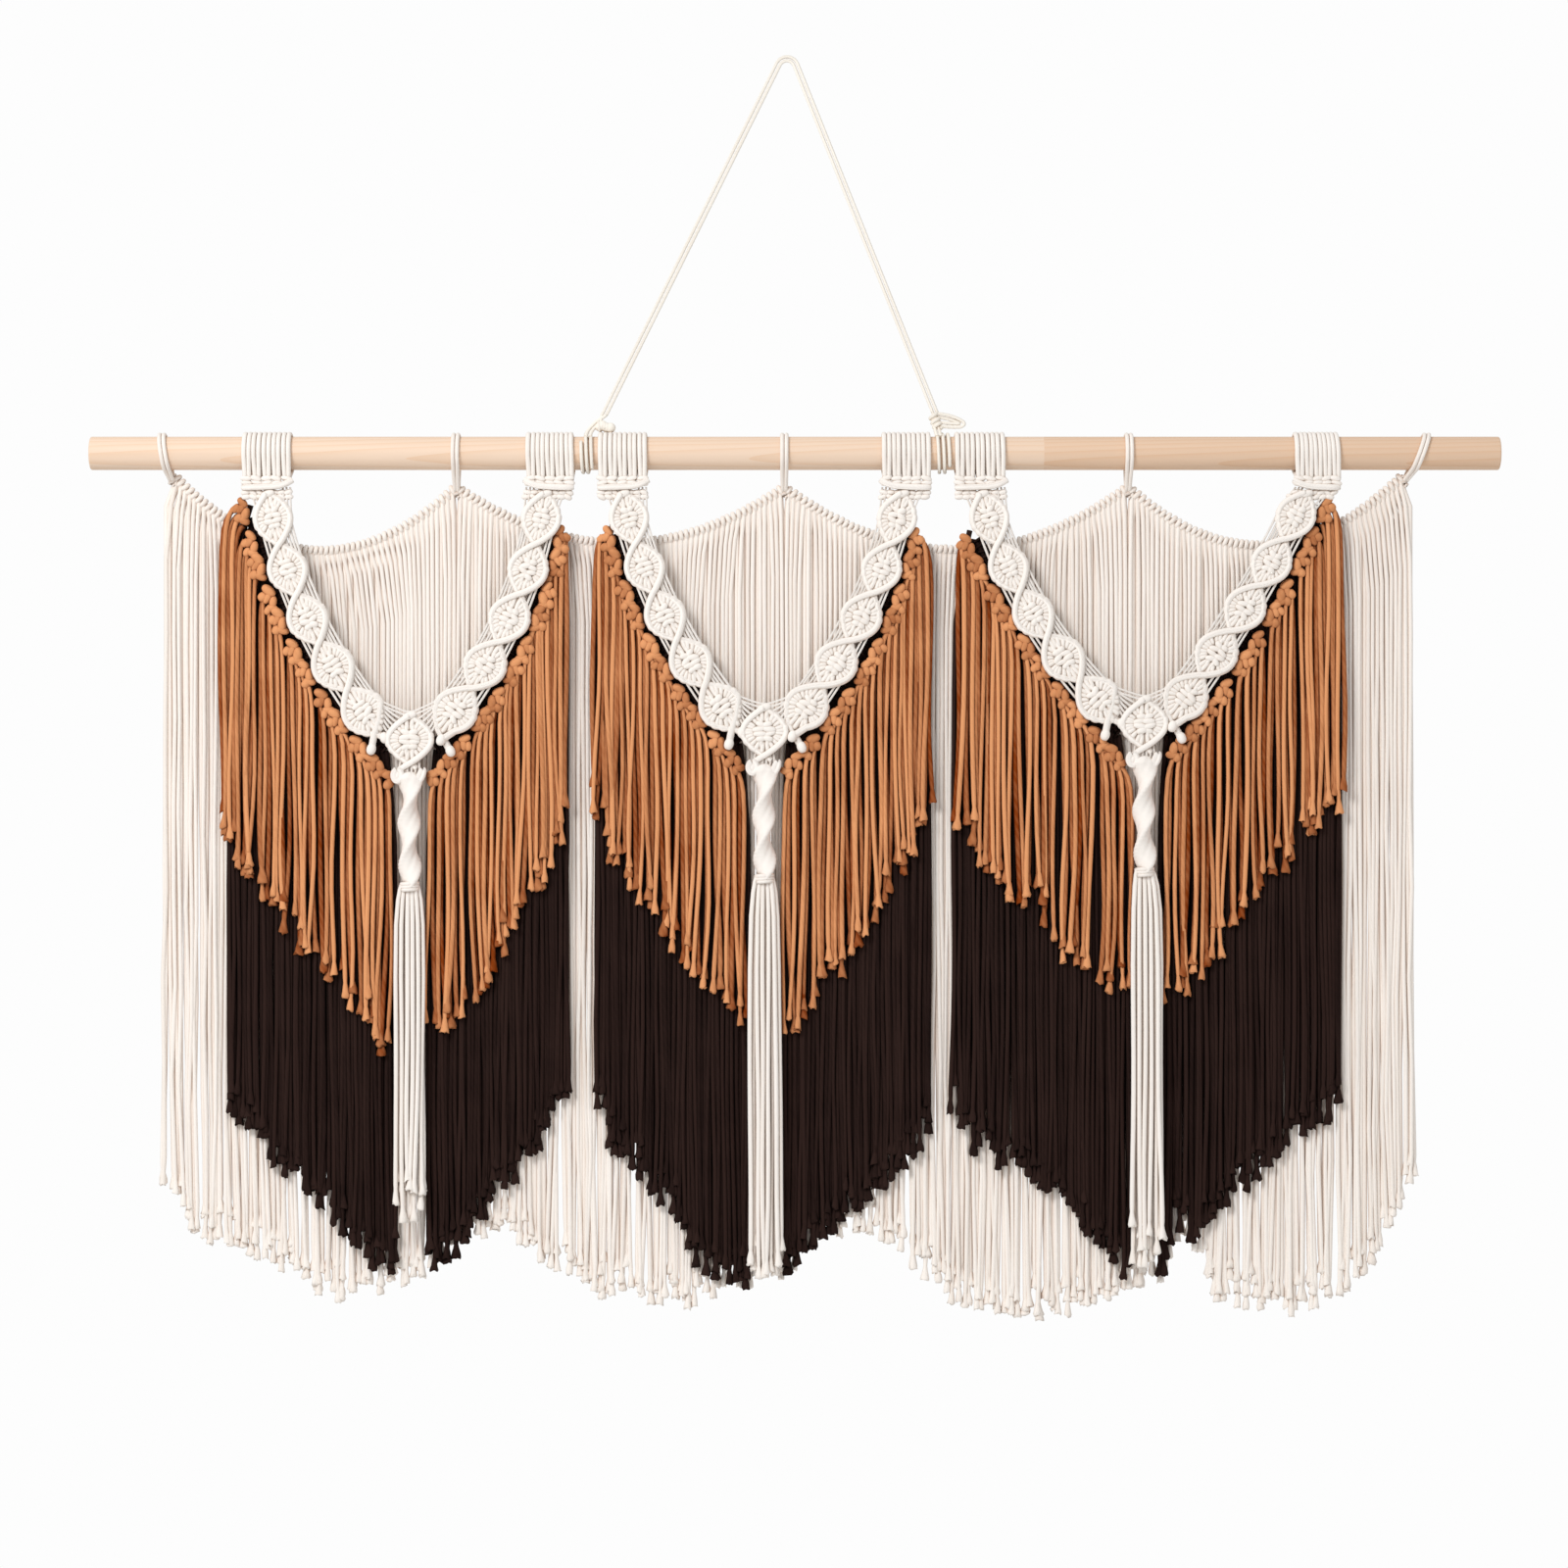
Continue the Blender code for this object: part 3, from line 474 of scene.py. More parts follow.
def lead_in(cords, end, step, places):
    """Lay the two strands from their ends down to the rod, by way of the places (x, y, height),
    the second a step further along the rod."""
    for number, offset in enumerate(CORD_OFFSETS.values()):
        start_x, _, start_z = hanging_line(offset)[end]
        way = [over_rod(x + step * number, y, height) for x, y, height in places]
        knot_cord(cords, smooth_line([(start_x, 0, start_z), *way], 30))


KNOT_LUMPS = ((-0.1398, 0.0206, 0.5, 0.0096), (-0.1362, 0.0196, -0.4, 0.0104),
              (-0.1328, 0.0190, 0.9, 0.0080))       # x, height, slope and length
cords = Cords()
lead_in(cords, 0, -0.0032, ((-0.1405, -0.001, 0.0235), (-0.1462, -0.003, 0.0172),
                            (-0.1480, -0.0092, 0.0117)))
knot_cord(cords, coil(over_rod(-0.1462, 0, 0), over_rod(-0.1545, 0, 0), TURN_RADIUS, 2.25, 110,
                      phase=0.6))
for x, height, way, length in KNOT_LUMPS:
    bulge(cords, np.array(over_rod(x, -0.0012, height)), (1, 0, way), length, 0.0037, 0.6)
knot_cord(cords, coil(over_rod(-0.1420, -0.001, 0.0204), over_rod(-0.1372, -0.001, 0.0196),
                      0.0028, 1.3, 40))
cords.finish("knot_left", hanging_cotton, "hang_knot_left")

cords = Cords()
lead_in(cords, -1, 0.0030, ((0.1098, -0.001, 0.0240), (0.1112, -0.003, 0.0185),
                            (0.1126, -0.0085, 0.0120)))
knot_cord(cords, coil(over_rod(0.1130, 0, 0), over_rod(0.1222, 0, 0), TURN_RADIUS, 2.3, 110,
                      phase=0.5))
knot_cord(cords, coil(over_rod(0.1100, -0.001, 0.0290), over_rod(0.1142, -0.001, 0.0180),
                      0.0030, 3.2, 90))
bulge(cords, np.array(over_rod(0.1120, -0.001, 0.0238)), (0.35, 0, -1), 0.0110, 0.0034, 0.6)
LOOP_ENDS = (((0.1118, 0.0300), (0.1220, 0.0284), (0.1306, 0.0250), (0.1334, 0.0221),
              (0.1306, 0.0198), (0.1220, 0.0197), (0.1148, 0.0203)),
             ((0.1118, 0.0272), (0.1210, 0.0258), (0.1286, 0.0234), (0.1296, 0.0224),
              (0.1276, 0.0222), (0.1210, 0.0226), (0.1148, 0.0232)))
for depth, loop in zip((-0.0020, -0.0014), LOOP_ENDS):
    knot_cord(cords, smooth_line([over_rod(x, depth, height) for x, height in loop], 44))
cords.finish("knot_right", hanging_cotton, "hang_knot_right")

# ------------------------------------------------------------------ curtain slings
# Five doubled cords slung over the rod, which carry the back curtain where its swags meet. They
# are of the same cream cotton string as the curtain, single-twist and soft, 4 mm thick.
CURTAIN_LAYER = (0.0040, 0.0092)
SLING_RADIUS = 0.0016
SLING_HALF_WIDTH = 0.0016       # between the two cords' lines on the rod
SLING_FOOT_HALF_WIDTH = 0.0010
SLING_TIE = (0.0022, 0.0015)    # the foot's wrap: radius of its turns and of its cord

# x on the rod, then x and drop of the foot
Sling = namedtuple("Sling", "rod_x foot_x foot_drop")
SLINGS = (
    Sling(-0.468, -0.4635, 0.018),
    Sling(-0.249, -0.249, 0.027),
    Sling(-0.002, -0.002, 0.027),
    Sling(0.257, 0.257, 0.027),
    Sling(0.476, 0.4655, 0.018),
)


def sling_line(rod_x, foot, radius, lean, rings=30):
    """From a foot (x, y, drop) up the rod's front, over it, and down its back to the foot."""
    foot_x, foot_y, foot_drop = foot
    towards = math.atan2(-foot_drop, foot_y)
    opening = math.acos(min(1.0, radius / math.hypot(foot_y, foot_drop)))
    angles = np.linspace(towards - opening, towards + opening - math.tau, rings)
    arc = np.stack([rod_x - lean * np.sin(angles), radius * np.cos(angles),
                    ROD_Z + radius * np.sin(angles)], axis=1)
    start = np.array((foot_x, foot_y, ROD_Z - foot_drop))
    share = np.linspace(0, 0.85, 5)[:, None]
    return np.concatenate([start + (arc[0] - start) * share, arc,
                           (start + (arc[-1] - start) * share)[::-1]])


cream_cotton = cotton("cream cotton string", "#FCF5EE", "#EFE4DA", "#E1D0C3", 0.0045)
curtain_y = sum(CURTAIN_LAYER) / 2
for number, sling in enumerate(SLINGS, 1):
    cords = Cords()
    for side in (-1, 1):
        foot = (sling.foot_x + side * SLING_FOOT_HALF_WIDTH, curtain_y, sling.foot_drop + 0.003)
        line = sling_line(sling.rod_x + side * SLING_HALF_WIDTH, foot, ROD_RADIUS + SLING_RADIUS,
                          lean=(sling.foot_x - sling.rod_x) / 2)
        cords.lay(line, SLING_RADIUS, tint=0.55 + 0.1 * side)
    cords.lay(coil((sling.foot_x, curtain_y, ROD_Z - sling.foot_drop + 0.002),
                   (sling.foot_x, curtain_y, ROD_Z - sling.foot_drop - 0.006), SLING_TIE[0],
                   2.2, 30), SLING_TIE[1], tint=0.6, sides=6)
    cords.finish(f"sling_{number}", cream_cotton, f"curtain_loop_{number}")

# ------------------------------------------------------------------ back curtain
# Four swags of cream string. Each string is half-hitched over a carrier cord that sags between
# two slings, then hangs free almost to the bottom, with its end cut and frayed.
SWAG_SAGS = (0.050, 0.040, 0.045, 0.046)
CURTAIN_EDGES = (-0.468, 0.470)             # the outermost strings hang outside the carrier's ends
CARRIER_GAP = 0.0022                        # from a sling's foot to the carrier's end
CURTAIN_GAP = 0.0017                        # from a sling's foot to the nearest string
CURTAIN_PITCH = 0.0040
CURTAIN_STRING = 0.00172                    # radius
CURTAIN_DEPTHS = (0.0059, 0.0081)           # y of the front strings and of those behind them
# The shoulders of the front strings and of those behind them
CURTAIN_SHOULDERS = (((0.005, 0.12), (0.018, 0.5), (0.060, 1.0)), ((0.020, 1.0),))
BACK_STRING = 0.0021                        # radius of those, which only show in the gaps
CARRIER_RADIUS = 0.0013
HITCH_RADIUS = 0.0018                       # of the cord of a hitch
HITCH_REACH = (0.0026, 0.0021)              # of its turn, up and down, and in depth
HITCH_Y = 0.0070
HITCH_RINGS = 12
CURTAIN_HEM = (                             # x, drop
    (-0.470, 0.560), (-0.441, 0.590), (-0.399, 0.603), (-0.342, 0.636), (-0.277, 0.620),
    (-0.254, 0.594), (-0.220, 0.583), (-0.146, 0.629), (-0.076, 0.641), (-0.002, 0.615),
    (0.027, 0.590), (0.057, 0.581), (0.108, 0.619), (0.134, 0.642), (0.190, 0.650),
    (0.256, 0.630), (0.285, 0.618), (0.297, 0.585), (0.326, 0.636), (0.381, 0.645),
    (0.429, 0.627), (0.451, 0.590), (0.472, 0.540),
)

# Heights above a cut end, and the string's thickness there as a share of its own
TIP_PROFILE = ((0.022, 1.0), (0.0150, 0.96), (0.0110, 0.82), (0.0080, 1.12), (0.0045, 1.5),
               (0.0015, 1.75), (0.0, 1.7))
# Ways down from the root: shares of the free length
FALL_SHARES = (0.12, 0.25, 0.4, 0.55, 0.7, 0.85)
FALL_WAVE = (0.16, 0.34)                    # length of a string's slow waves
STRING_SIDES = 8


def hitch(cords, place, along, reach, thickness, tint, lean, sides=6):
    """A turn of cord round a carrier. Its reach is its radius sideways and in depth, and its
    lean is how far it slants along the carrier."""
    along = unit(along)
    out = unit(np.cross(along, (0, 1, 0)))
    angle = np.radians(np.linspace(-170, 185, HITCH_RINGS))[:, None]
    line = (np.asarray(place) + out * np.cos(angle) * reach[0]
            + np.array((0, -1, 0)) * np.sin(angle) * reach[1] + along * lean * np.cos(angle))
    cords.lay(line, thickness, tint, sides=sides)


def cut_end(x, hem, rand, shorter, longer):
    """Height of a string's cut end at x: the hem's, less or more by up to so much."""
    return ROD_Z - np.interp(x, *zip(*hem)) - rand.uniform(shorter, longer)


def hang(cords, root, hang_x, hang_y, foot_z, radius, rand, shoulder, drift, sway=0.0008,
         tint=None):
    """Let a string fall from its root: over its shoulder, down, and to a frayed end.

    The shoulder's rows are a height below the root, and how much of the way to the string's
    place it has gone by there.
    """
    x, y, z = root
    rows = [(0.0, 0.0), *shoulder]
    free_top = rows[-1][0]
    free = z - free_top - foot_z - TIP_PROFILE[0][0]
    rows += [(free_top + free * share, 1.0) for share in FALL_SHARES]
    rows += [(z - foot_z - height, 1.0) for height, _ in TIP_PROFILE]
    heights, gone = np.array(rows).T
    fallen = heights / heights[-1]
    wave = rand.uniform(*FALL_WAVE)
    phase, phase_y, turn = rand.uniform(0, math.tau, 3)
    aside = rand.uniform(-drift, drift)
    xs = (x + (hang_x - x) * gone
          + sway * fallen * np.sin(math.tau * heights / wave + phase) + aside * fallen ** 2)
    ys = y + (hang_y - y) * gone + 0.4 * sway * fallen * np.sin(
        math.tau * heights / wave + phase_y)
    line = np.stack([xs, ys, z - heights], axis=1)
    radii = np.full((len(line), STRING_SIDES), radius) * rand.uniform(0.94, 1.05)
    radii *= rand.uniform(0.97, 1.03, (len(line), 1))
    slip = np.zeros((len(line), STRING_SIDES))
    for row, (_, thickness) in zip(range(-1, -len(line), -1), reversed(TIP_PROFILE)):
        radii[row] = radius * (1 + (thickness - 1) * rand.uniform(0.6, 1.25))
    ragged = rand.uniform(0.80, 1.2, STRING_SIDES)
    radii[-1] *= ragged * rand.uniform(0.85, 1.1, STRING_SIDES)
    radii[-2] *= ragged
    radii[-3] *= (1 + ragged) / 2
    slip[-1] = rand.uniform(-0.0020, 0.0010, STRING_SIDES)
    if tint is None:
        tint = rand.uniform(0.2, 0.8)
    cords.lay(line, radii, tint, STRING_SIDES, slip)


def heading(line, t):
    """Which way the line runs at t."""
    return line(t + 0.01) - line(t - 0.01)


def even_places(function, first, last, count):
    """Values of t, from 0 to 1, at which a steadily running x takes evenly spaced values."""
    t = np.linspace(0, 1, 400)
    xs = function(t)
    if xs[-1] < xs[0]:
        return np.interp(-np.linspace(first, last, count), -xs, t)
    return np.interp(np.linspace(first, last, count), xs, t)


def bunched(first, last, count, rand, loose):
    """Places from first to last, drawn together in twos, threes and fours."""
    gaps = rand.choice((0.84, 0.95, 1.05, loose), count - 1, p=(0.34, 0.24, 0.20, 0.22))
    at = np.concatenate([[0], np.cumsum(gaps)])
    return first + (last - first) * at / at[-1]


clear = SLING_FOOT_HALF_WIDTH + CARRIER_GAP
for number, (left, right, sag) in enumerate(zip(SLINGS, SLINGS[1:], SWAG_SAGS), 1):
    rand = np.random.default_rng(100 + number)
    start_x, end_x = left.foot_x + clear, right.foot_x - clear
    edge_left = CURTAIN_EDGES[0] if number == 1 else left.foot_x + CURTAIN_GAP
    edge_right = CURTAIN_EDGES[1] if number == len(SWAG_SAGS) else right.foot_x - CURTAIN_GAP

    def carrier(t):
        """Places along the sagging carrier cord."""
        t = np.asarray(t, float)
        drop = (left.foot_drop + (right.foot_drop - left.foot_drop) * t
                + sag * 4 * t * (1 - t) + 0.0005)
        return np.stack([start_x + (end_x - start_x) * t, np.full(t.shape, HITCH_Y),
                         ROD_Z - drop], axis=-1)

    def hang_x(t):
        return (start_x + (end_x - start_x) * t + (edge_left - start_x) * (1 - t) ** 6
                + (edge_right - end_x) * t ** 6)

    cords = Cords()
    cords.lay(carrier(np.linspace(-0.012, 1.012, 60)), CARRIER_RADIUS, 0.6)
    count = round((edge_right - edge_left) / CURTAIN_PITCH) + 1
    ts = even_places(hang_x, edge_left, edge_right, count)
    for t, x in zip(ts, bunched(edge_left, edge_right, count, rand, loose=1.85)):
        place = carrier(t)
        tint = rand.uniform(0.25, 0.95)
        big = rand.uniform(0.9, 1.1)
        hitch(cords, place, heading(carrier, t), (HITCH_REACH[0] * big, HITCH_REACH[1]),
              HITCH_RADIUS, tint, lean=rand.uniform(0.0001, 0.0008), sides=8)
        foot = cut_end(x, CURTAIN_HEM, rand, -0.011, 0.007)
        hang(cords, (place[0], HITCH_Y - 0.0008, place[2] - 0.0016), x,
             CURTAIN_DEPTHS[0] + rand.uniform(-0.0001, 0.0006), foot, CURTAIN_STRING, rand,
             shoulder=CURTAIN_SHOULDERS[0], sway=0.0019, drift=0.0036, tint=tint)
    for t in np.concatenate([ts[:1], (ts[:-1] + ts[1:]) / 2, ts[-1:]]):
        place, x = carrier(t), float(hang_x(t))
        foot = cut_end(x, CURTAIN_HEM, rand, -0.022, 0.004)
        hang(cords, (place[0], HITCH_Y + 0.0002, place[2] - 0.0010), x, CURTAIN_DEPTHS[1], foot,
             BACK_STRING, rand, shoulder=CURTAIN_SHOULDERS[1], drift=0.0030)
    cords.finish(f"swag_{number}", cream_cotton, f"curtain_{number}")

# ------------------------------------------------------------------ dark fringes
# Near-black brown string, one fringe behind each strap: a knotted row that shows only between
# the strap and the caramel knots, and strings that hang below the caramel fringe.
# Each strap's lines are curves of three control points (x, drop), outer end first, and its hems
# are rows of (x, drop). Its first group is how many caramel knots come before the first space.
Strap = namedtuple("Strap", "name wraps strap chain brown_hem dark_hem first_group")
STRAPS = (
    Strap("1_left", (-0.409, -0.372),
          ((-0.3895, 0.030), (-0.372, 0.129), (-0.3045, 0.211)),
          ((-0.4095, 0.040), (-0.381, 0.167), (-0.296, 0.247)),
          ((-0.425, 0.271), (-0.408, 0.315), (-0.382, 0.345), (-0.342, 0.393), (-0.297, 0.452)),
          ((-0.4195, 0.490), (-0.378, 0.535), (-0.348, 0.565), (-0.305, 0.616), (-0.295, 0.606)),
          2),
    Strap("1_right", (-0.196, -0.160),
          ((-0.181, 0.030), (-0.195, 0.129), (-0.2615, 0.210)),
          ((-0.170, 0.061), (-0.186, 0.164), (-0.270, 0.247)),
          ((-0.270, 0.439), (-0.242, 0.419), (-0.219, 0.378), (-0.190, 0.330), (-0.1665, 0.277)),
          ((-0.270, 0.608), (-0.252, 0.600), (-0.231, 0.570), (-0.205, 0.544), (-0.1665, 0.480)),
          4),
    Strap("2_left", (-0.142, -0.105),
          ((-0.123, 0.030), (-0.103, 0.126), (-0.0365, 0.207)),
          ((-0.135, 0.061), (-0.109, 0.160), (-0.033, 0.238)),
          ((-0.1440, 0.253), (-0.135, 0.298), (-0.102, 0.341), (-0.083, 0.370), (-0.031, 0.434)),
          ((-0.1425, 0.485), (-0.130, 0.520), (-0.082, 0.568), (-0.069, 0.607), (-0.029, 0.622)),
          4),
    Strap("2_right", (0.071, 0.108),
          ((0.087, 0.030), (0.067, 0.129), (0.0020, 0.207)),
          ((0.096, 0.063), (0.077, 0.163), (-0.001, 0.238)),
          ((-0.002, 0.431), (0.014, 0.427), (0.032, 0.395), (0.060, 0.363), (0.1080, 0.267)),
          ((-0.002, 0.610), (0.027, 0.585), (0.057, 0.560), (0.090, 0.528), (0.1065, 0.508)),
          4),
    Strap("3_left", (0.126, 0.164),
          ((0.146, 0.030), (0.172, 0.127), (0.2485, 0.200)),
          ((0.134, 0.067), (0.186, 0.167), (0.252, 0.233)),
          ((0.1290, 0.268), (0.149, 0.306), (0.165, 0.335), (0.190, 0.338), (0.207, 0.374),
           (0.260, 0.407)),
          ((0.1262, 0.490), (0.137, 0.516), (0.190, 0.544), (0.212, 0.565), (0.257, 0.616)),
          4),
    Strap("3_right", (0.381, 0.415),
          ((0.390, 0.030), (0.349, 0.119), (0.2870, 0.200)),
          ((0.405, 0.039), (0.355, 0.157), (0.284, 0.231)),
          ((0.283, 0.408), (0.308, 0.397), (0.337, 0.352), (0.389, 0.283), (0.4165, 0.264)),
          ((0.281, 0.618), (0.292, 0.575), (0.304, 0.585), (0.363, 0.530), (0.4155, 0.487)),
          2),
)
DARK_LAYER = (-0.0024, 0.0022)
DARK_Y = sum(DARK_LAYER) / 2    # of the knotted row
# Each layer's y, its strings' radius and count, and how far they sway and drift
DARK_STRINGS = ((-0.0006, 0.00182, 36, 0.0014, 0.0026),
                (0.0011, 0.00212, 36, 0.0004, 0.0006))
DARK_SHOULDER = ((0.008, 0.15), (0.030, 0.50), (0.070, 0.90), (0.120, 1.0))
# The dark row's way from the caramel knots to the strap, and what the centre diamond adds to it
DARK_LINE_SHIFT = (0.30, 0.40)
DARK_TOP = 0.05                 # where the row begins, as a share of its length
DARK_ROPES = (-0.0038, 0, 0.0038)           # the ropes under the row's hitches, across it
DARK_ROPE_RADIUS = 0.0024
DARK_KNOT_STEP = 0.0045
DARK_KNOT_RADIUS = 0.0016
DARK_KNOT_REACH = (0.0052, 0.0022)


def curve(points, t, y=0.0):
    """Places along a curve with three control points (x, drop)."""
    (x0, d0), (x1, d1), (x2, d2) = points
    t = np.asarray(t, float)
    x = x0 * (1 - t) ** 2 + x1 * 2 * t * (1 - t) + x2 * t ** 2
    drop = d0 * (1 - t) ** 2 + d1 * 2 * t * (1 - t) + d2 * t ** 2
    return np.stack([x, np.full(t.shape, y), ROD_Z - drop], axis=-1)


def paced(line, start, end, step):
    """Values of t at even steps along line(t)."""
    t = np.linspace(start, end, 300)
    along = lengths_along(line(t))
    count = max(2, round(along[-1] / step) + 1)
    return np.interp(np.linspace(0, along[-1], count), along, t)


def outward(strap):
    """-1 where the strap's outer edge is on its left, else 1."""
    return -1 if strap.name.endswith("left") else 1


def hem_ends(strap, hem):
    """x at the hem's outer end and at its inner one."""
    return (hem[0][0], hem[-1][0])[::-outward(strap)]


def fall_x(line, t, outer, inner):
    """x at which a string tied at line(t) hangs, when the line's end strings hang at outer and
    inner."""
    return (line(t)[..., 0] + (outer - line(0.0)[0]) * (1 - t) ** 2
            + (inner - line(1.0)[0]) * t ** 2)


dark_cotton = cotton("dark brown dyed cotton string", "#33231F", "#120908", "#050201", 0.0045,
                     gloss=0.06)
for number, strap in enumerate(STRAPS):
    rand = np.random.default_rng(200 + number)

    def dark_line(t):
        t = np.asarray(t, float)
        share = (DARK_LINE_SHIFT[0] + DARK_LINE_SHIFT[1] * t ** 3)[..., None]
        return curve(strap.chain, t, DARK_Y) * (1 - share) + curve(strap.strap, t, DARK_Y) * share

    cords = Cords()
    t = np.linspace(DARK_TOP, 1, 40)
    beside = unit(np.cross(heading(dark_line, t), (0, 1, 0)))
    for shift in DARK_ROPES:
        cords.lay(dark_line(t) + beside * shift, DARK_ROPE_RADIUS, rand.uniform(0.2, 0.8))
    for t in paced(dark_line, DARK_TOP, 1, DARK_KNOT_STEP):
        hitch(cords, dark_line(t), heading(dark_line, t), DARK_KNOT_REACH, DARK_KNOT_RADIUS,
              rand.uniform(0, 1), lean=rand.uniform(-0.001, 0.001))
    outer, inner = hem_ends(strap, strap.dark_hem)
    for y, radius, count, sway, drift in DARK_STRINGS:
        ts = even_places(lambda t: fall_x(dark_line, t, outer, inner), outer, inner, count)
        loose = 1.3 if y < 0 else 1.0
        for t, x in zip(ts, bunched(outer, inner, count, rand, loose)):
            foot = cut_end(x, strap.dark_hem, rand, -0.017, 0.011)
            hang(cords, dark_line(t) - (0, 0, 0.002), x, y + rand.uniform(-0.0002, 0.0002), foot,
                 radius, rand, shoulder=DARK_SHOULDER, sway=sway, drift=drift)
    cords.finish(f"dark_strings_{strap.name}", dark_cotton, f"dark_{strap.name}")

# ------------------------------------------------------------------ caramel fringes
# Caramel-dyed string along the outer edge of each strap: chunky knots in groups of four, and
# from each knot two strings that arch out over its shoulder and fall in front of the dark ones.
BROWN_DEPTHS = (-0.0042, -0.0063)           # y of the strings behind and of those in front
BROWN_STRING = (0.0021, 0.0017)              # radii of those behind and of those in front
BROWN_KNOT_STEP = 0.0090
BROWN_FINE = 20                 # small steps measured for each knot step
BROWN_GROUP = 4
BROWN_GROUP_GAP = 0.85          # extra space between groups, in knot steps
BROWN_KNOT_Y = -0.0066
BROWN_EDGE = 8                  # strings at the outer edge that hang evenly, side by side
BROWN_TOP_KNOTS = 4             # the outermost ones, which have a third string
BROWN_SHOULDER = ((0.002, 0.30), (0.005, 0.52), (0.010, 0.74), (0.018, 0.90), (0.034, 1.0))

# the shade colour is mostly the deep tone given to the strings behind: painted shade
brown_cotton = cotton("caramel dyed cotton string", "#EEA874", "#84390C", "#4E1300", 0.0080,
                      gloss=0.06)
for number, strap in enumerate(STRAPS):
    rand, spare = np.random.default_rng(300 + number), np.random.default_rng(350 + number)

    def chain(t):
        return curve(strap.chain, t, BROWN_KNOT_Y)

    fine = paced(chain, 0.0, 1.0, BROWN_KNOT_STEP / BROWN_FINE)
    length = (len(fine) - 1) / BROWN_FINE     # in knot steps
    places, at, count = [], 0.0, 0
    while at <= length:
        places.append(float(np.interp(at * BROWN_FINE, np.arange(len(fine)), fine)))
        count += 1
        in_group = (count - strap.first_group) % BROWN_GROUP == 0 and count >= strap.first_group
        at += 1 + (BROWN_GROUP_GAP if in_group and length - at > 5 else 0)
    outer, inner = hem_ends(strap, strap.brown_hem)
    cords = Cords()
    spread = bunched(outer, inner, 2 * len(places), rand, loose=1.7)
    spread[:BROWN_EDGE] = np.linspace(outer, spread[BROWN_EDGE - 1], BROWN_EDGE)
    for index, t in enumerate(places):
        place = chain(t)
        along = unit(heading(chain, t))
        out = np.cross(along, (0, 1, 0))
        out = unit(out * (1 if out[0] * outward(strap) > 0 else -1))
        tint = rand.uniform(0.3, 0.95)
        big = rand.uniform(0.9, 1.14)
        turn = 1 if index % 2 else -1
        bulge(cords, place - along * 0.0022 - out * 0.0012 + (0, -0.0010, 0),
              along * 0.8 + out * 0.45 * turn, 0.0104 * big, 0.0033 * big, tint)
        bulge(cords, place + along * 0.0020 + out * 0.0010 + (0, -0.0006, 0),
              along * 0.7 - out * 0.8 * turn, 0.0098 * big, 0.0031, tint - 0.12)
        # the ball at which the knot's strings leave it
        ball = place + out * rand.uniform(0.0038, 0.0050) + along * rand.uniform(-0.001, 0.0026)
        bulge(cords, ball, along * rand.uniform(0.2, 1) + out, 0.0080, 0.0033 * big, tint)
        for turn in (0, 1):
            x = spread[2 * index + turn]
            if 2 * index >= BROWN_EDGE:
                x = 0.4 * fall_x(chain, t, outer, inner) + 0.6 * x
            y = BROWN_DEPTHS[turn] + rand.uniform(-0.0003, 0.0003)
            foot = cut_end(x, strap.brown_hem, rand, -0.014, 0.009)
            root = place + out * (0.0030 + 0.0012 * turn) + along * (0.0005 - 0.001 * turn)
            # the strings behind (turn 0) get a low tint, near the shade colour, and those in front
            # a high one: painted shade on the back layer
            hang(cords, (root[0], BROWN_KNOT_Y + 0.0022 - 0.0016 * turn, root[2]), x, y, foot,
                 BROWN_STRING[turn] * rand.uniform(0.9, 1.15), rand, shoulder=BROWN_SHOULDER,
                 sway=0.0024, drift=0.0036,
                 tint=rand.uniform(0.35, 0.9) if turn else rand.uniform(-0.2, 0.25))
        if index < BROWN_TOP_KNOTS:     # one more string fills the arch below each of these
            x = (spread[2 * index + 1] + spread[2 * index + 2]) / 2
            foot = cut_end(x, strap.brown_hem, spare, -0.014, 0.009)
            root = place + along * 0.0055 + out * 0.0026
            # a low tint, near the shade colour: painted shade on these strings behind
            hang(cords, (root[0], BROWN_KNOT_Y + 0.0018, root[2]), x, BROWN_DEPTHS[0], foot,
                 BROWN_STRING[0], spare, shoulder=BROWN_SHOULDER, sway=0.0015, drift=0.0020,
                 tint=spare.uniform(0.0, 0.4))
    cords.finish(f"caramel_strings_{strap.name}", brown_cotton, f"brown_{strap.name}")

# ------------------------------------------------------------------ straps
# Six bands of white string. Ten strings pass over the rod in pairs, are knotted under it into a
# bar, and are then worked into five diamonds: two ropes of half hitches cross and cross again,
# with a square knot in each diamond and straight strings along both edges.
STRAP_TOP_WIDTH = 0.86          # against the width at the foot
STRAP_HALF_WIDTH = 0.0150       # from the strap's line to a rope's line, at a diamond's corner
ROPE_Y = -0.0116
ROPE_LIFT = 0.0012              # one rope over the other at a crossing
ROPE_SMOOTH = 0.0027            # radius where it lies bare on top
ROPE_HITCHED = 0.0031           # radius where it is hidden under half hitches
HITCHES = 4                     # on one side of a diamond
DIAMONDS = 5
# Drops of the rows of knots under the bar, and how far each follows the strap sideways
BAR_ROWS = ((0.0300, 0.3), (0.0334, 0.7))
WRAP_RADIUS = 0.00192
WRAP_CORDS = 10
WRAP_FOOT = (0.0014, -0.0104, 0.0200)       # half a pair's width, y and drop where it is knotted
ROPE_RINGS = 40                 # for each diamond
FAN_STRING = (0.0024, 0.0022, 0.0020, 0.0018, 0.0016, 0.0014)   # from the rope to the knot
FAN_SHARES = (0.10, 0.26, 0.42, 0.58, 0.74, 0.90)
KNOT_HALF = (0.55, 0.47)        # of the square knot, in the diamond's own half width and height
KNOT_STRING = 0.0024
BACKING_STRING = 0.0023
BACKING_PLACES = (-0.72, -0.48, -0.24, 0, 0.24, 0.48, 0.72)
CORE_STRING = 0.0016
EDGE_STRING = 0.0016
THIN_STRING = 0.0013
ROPE_SIDES = 10
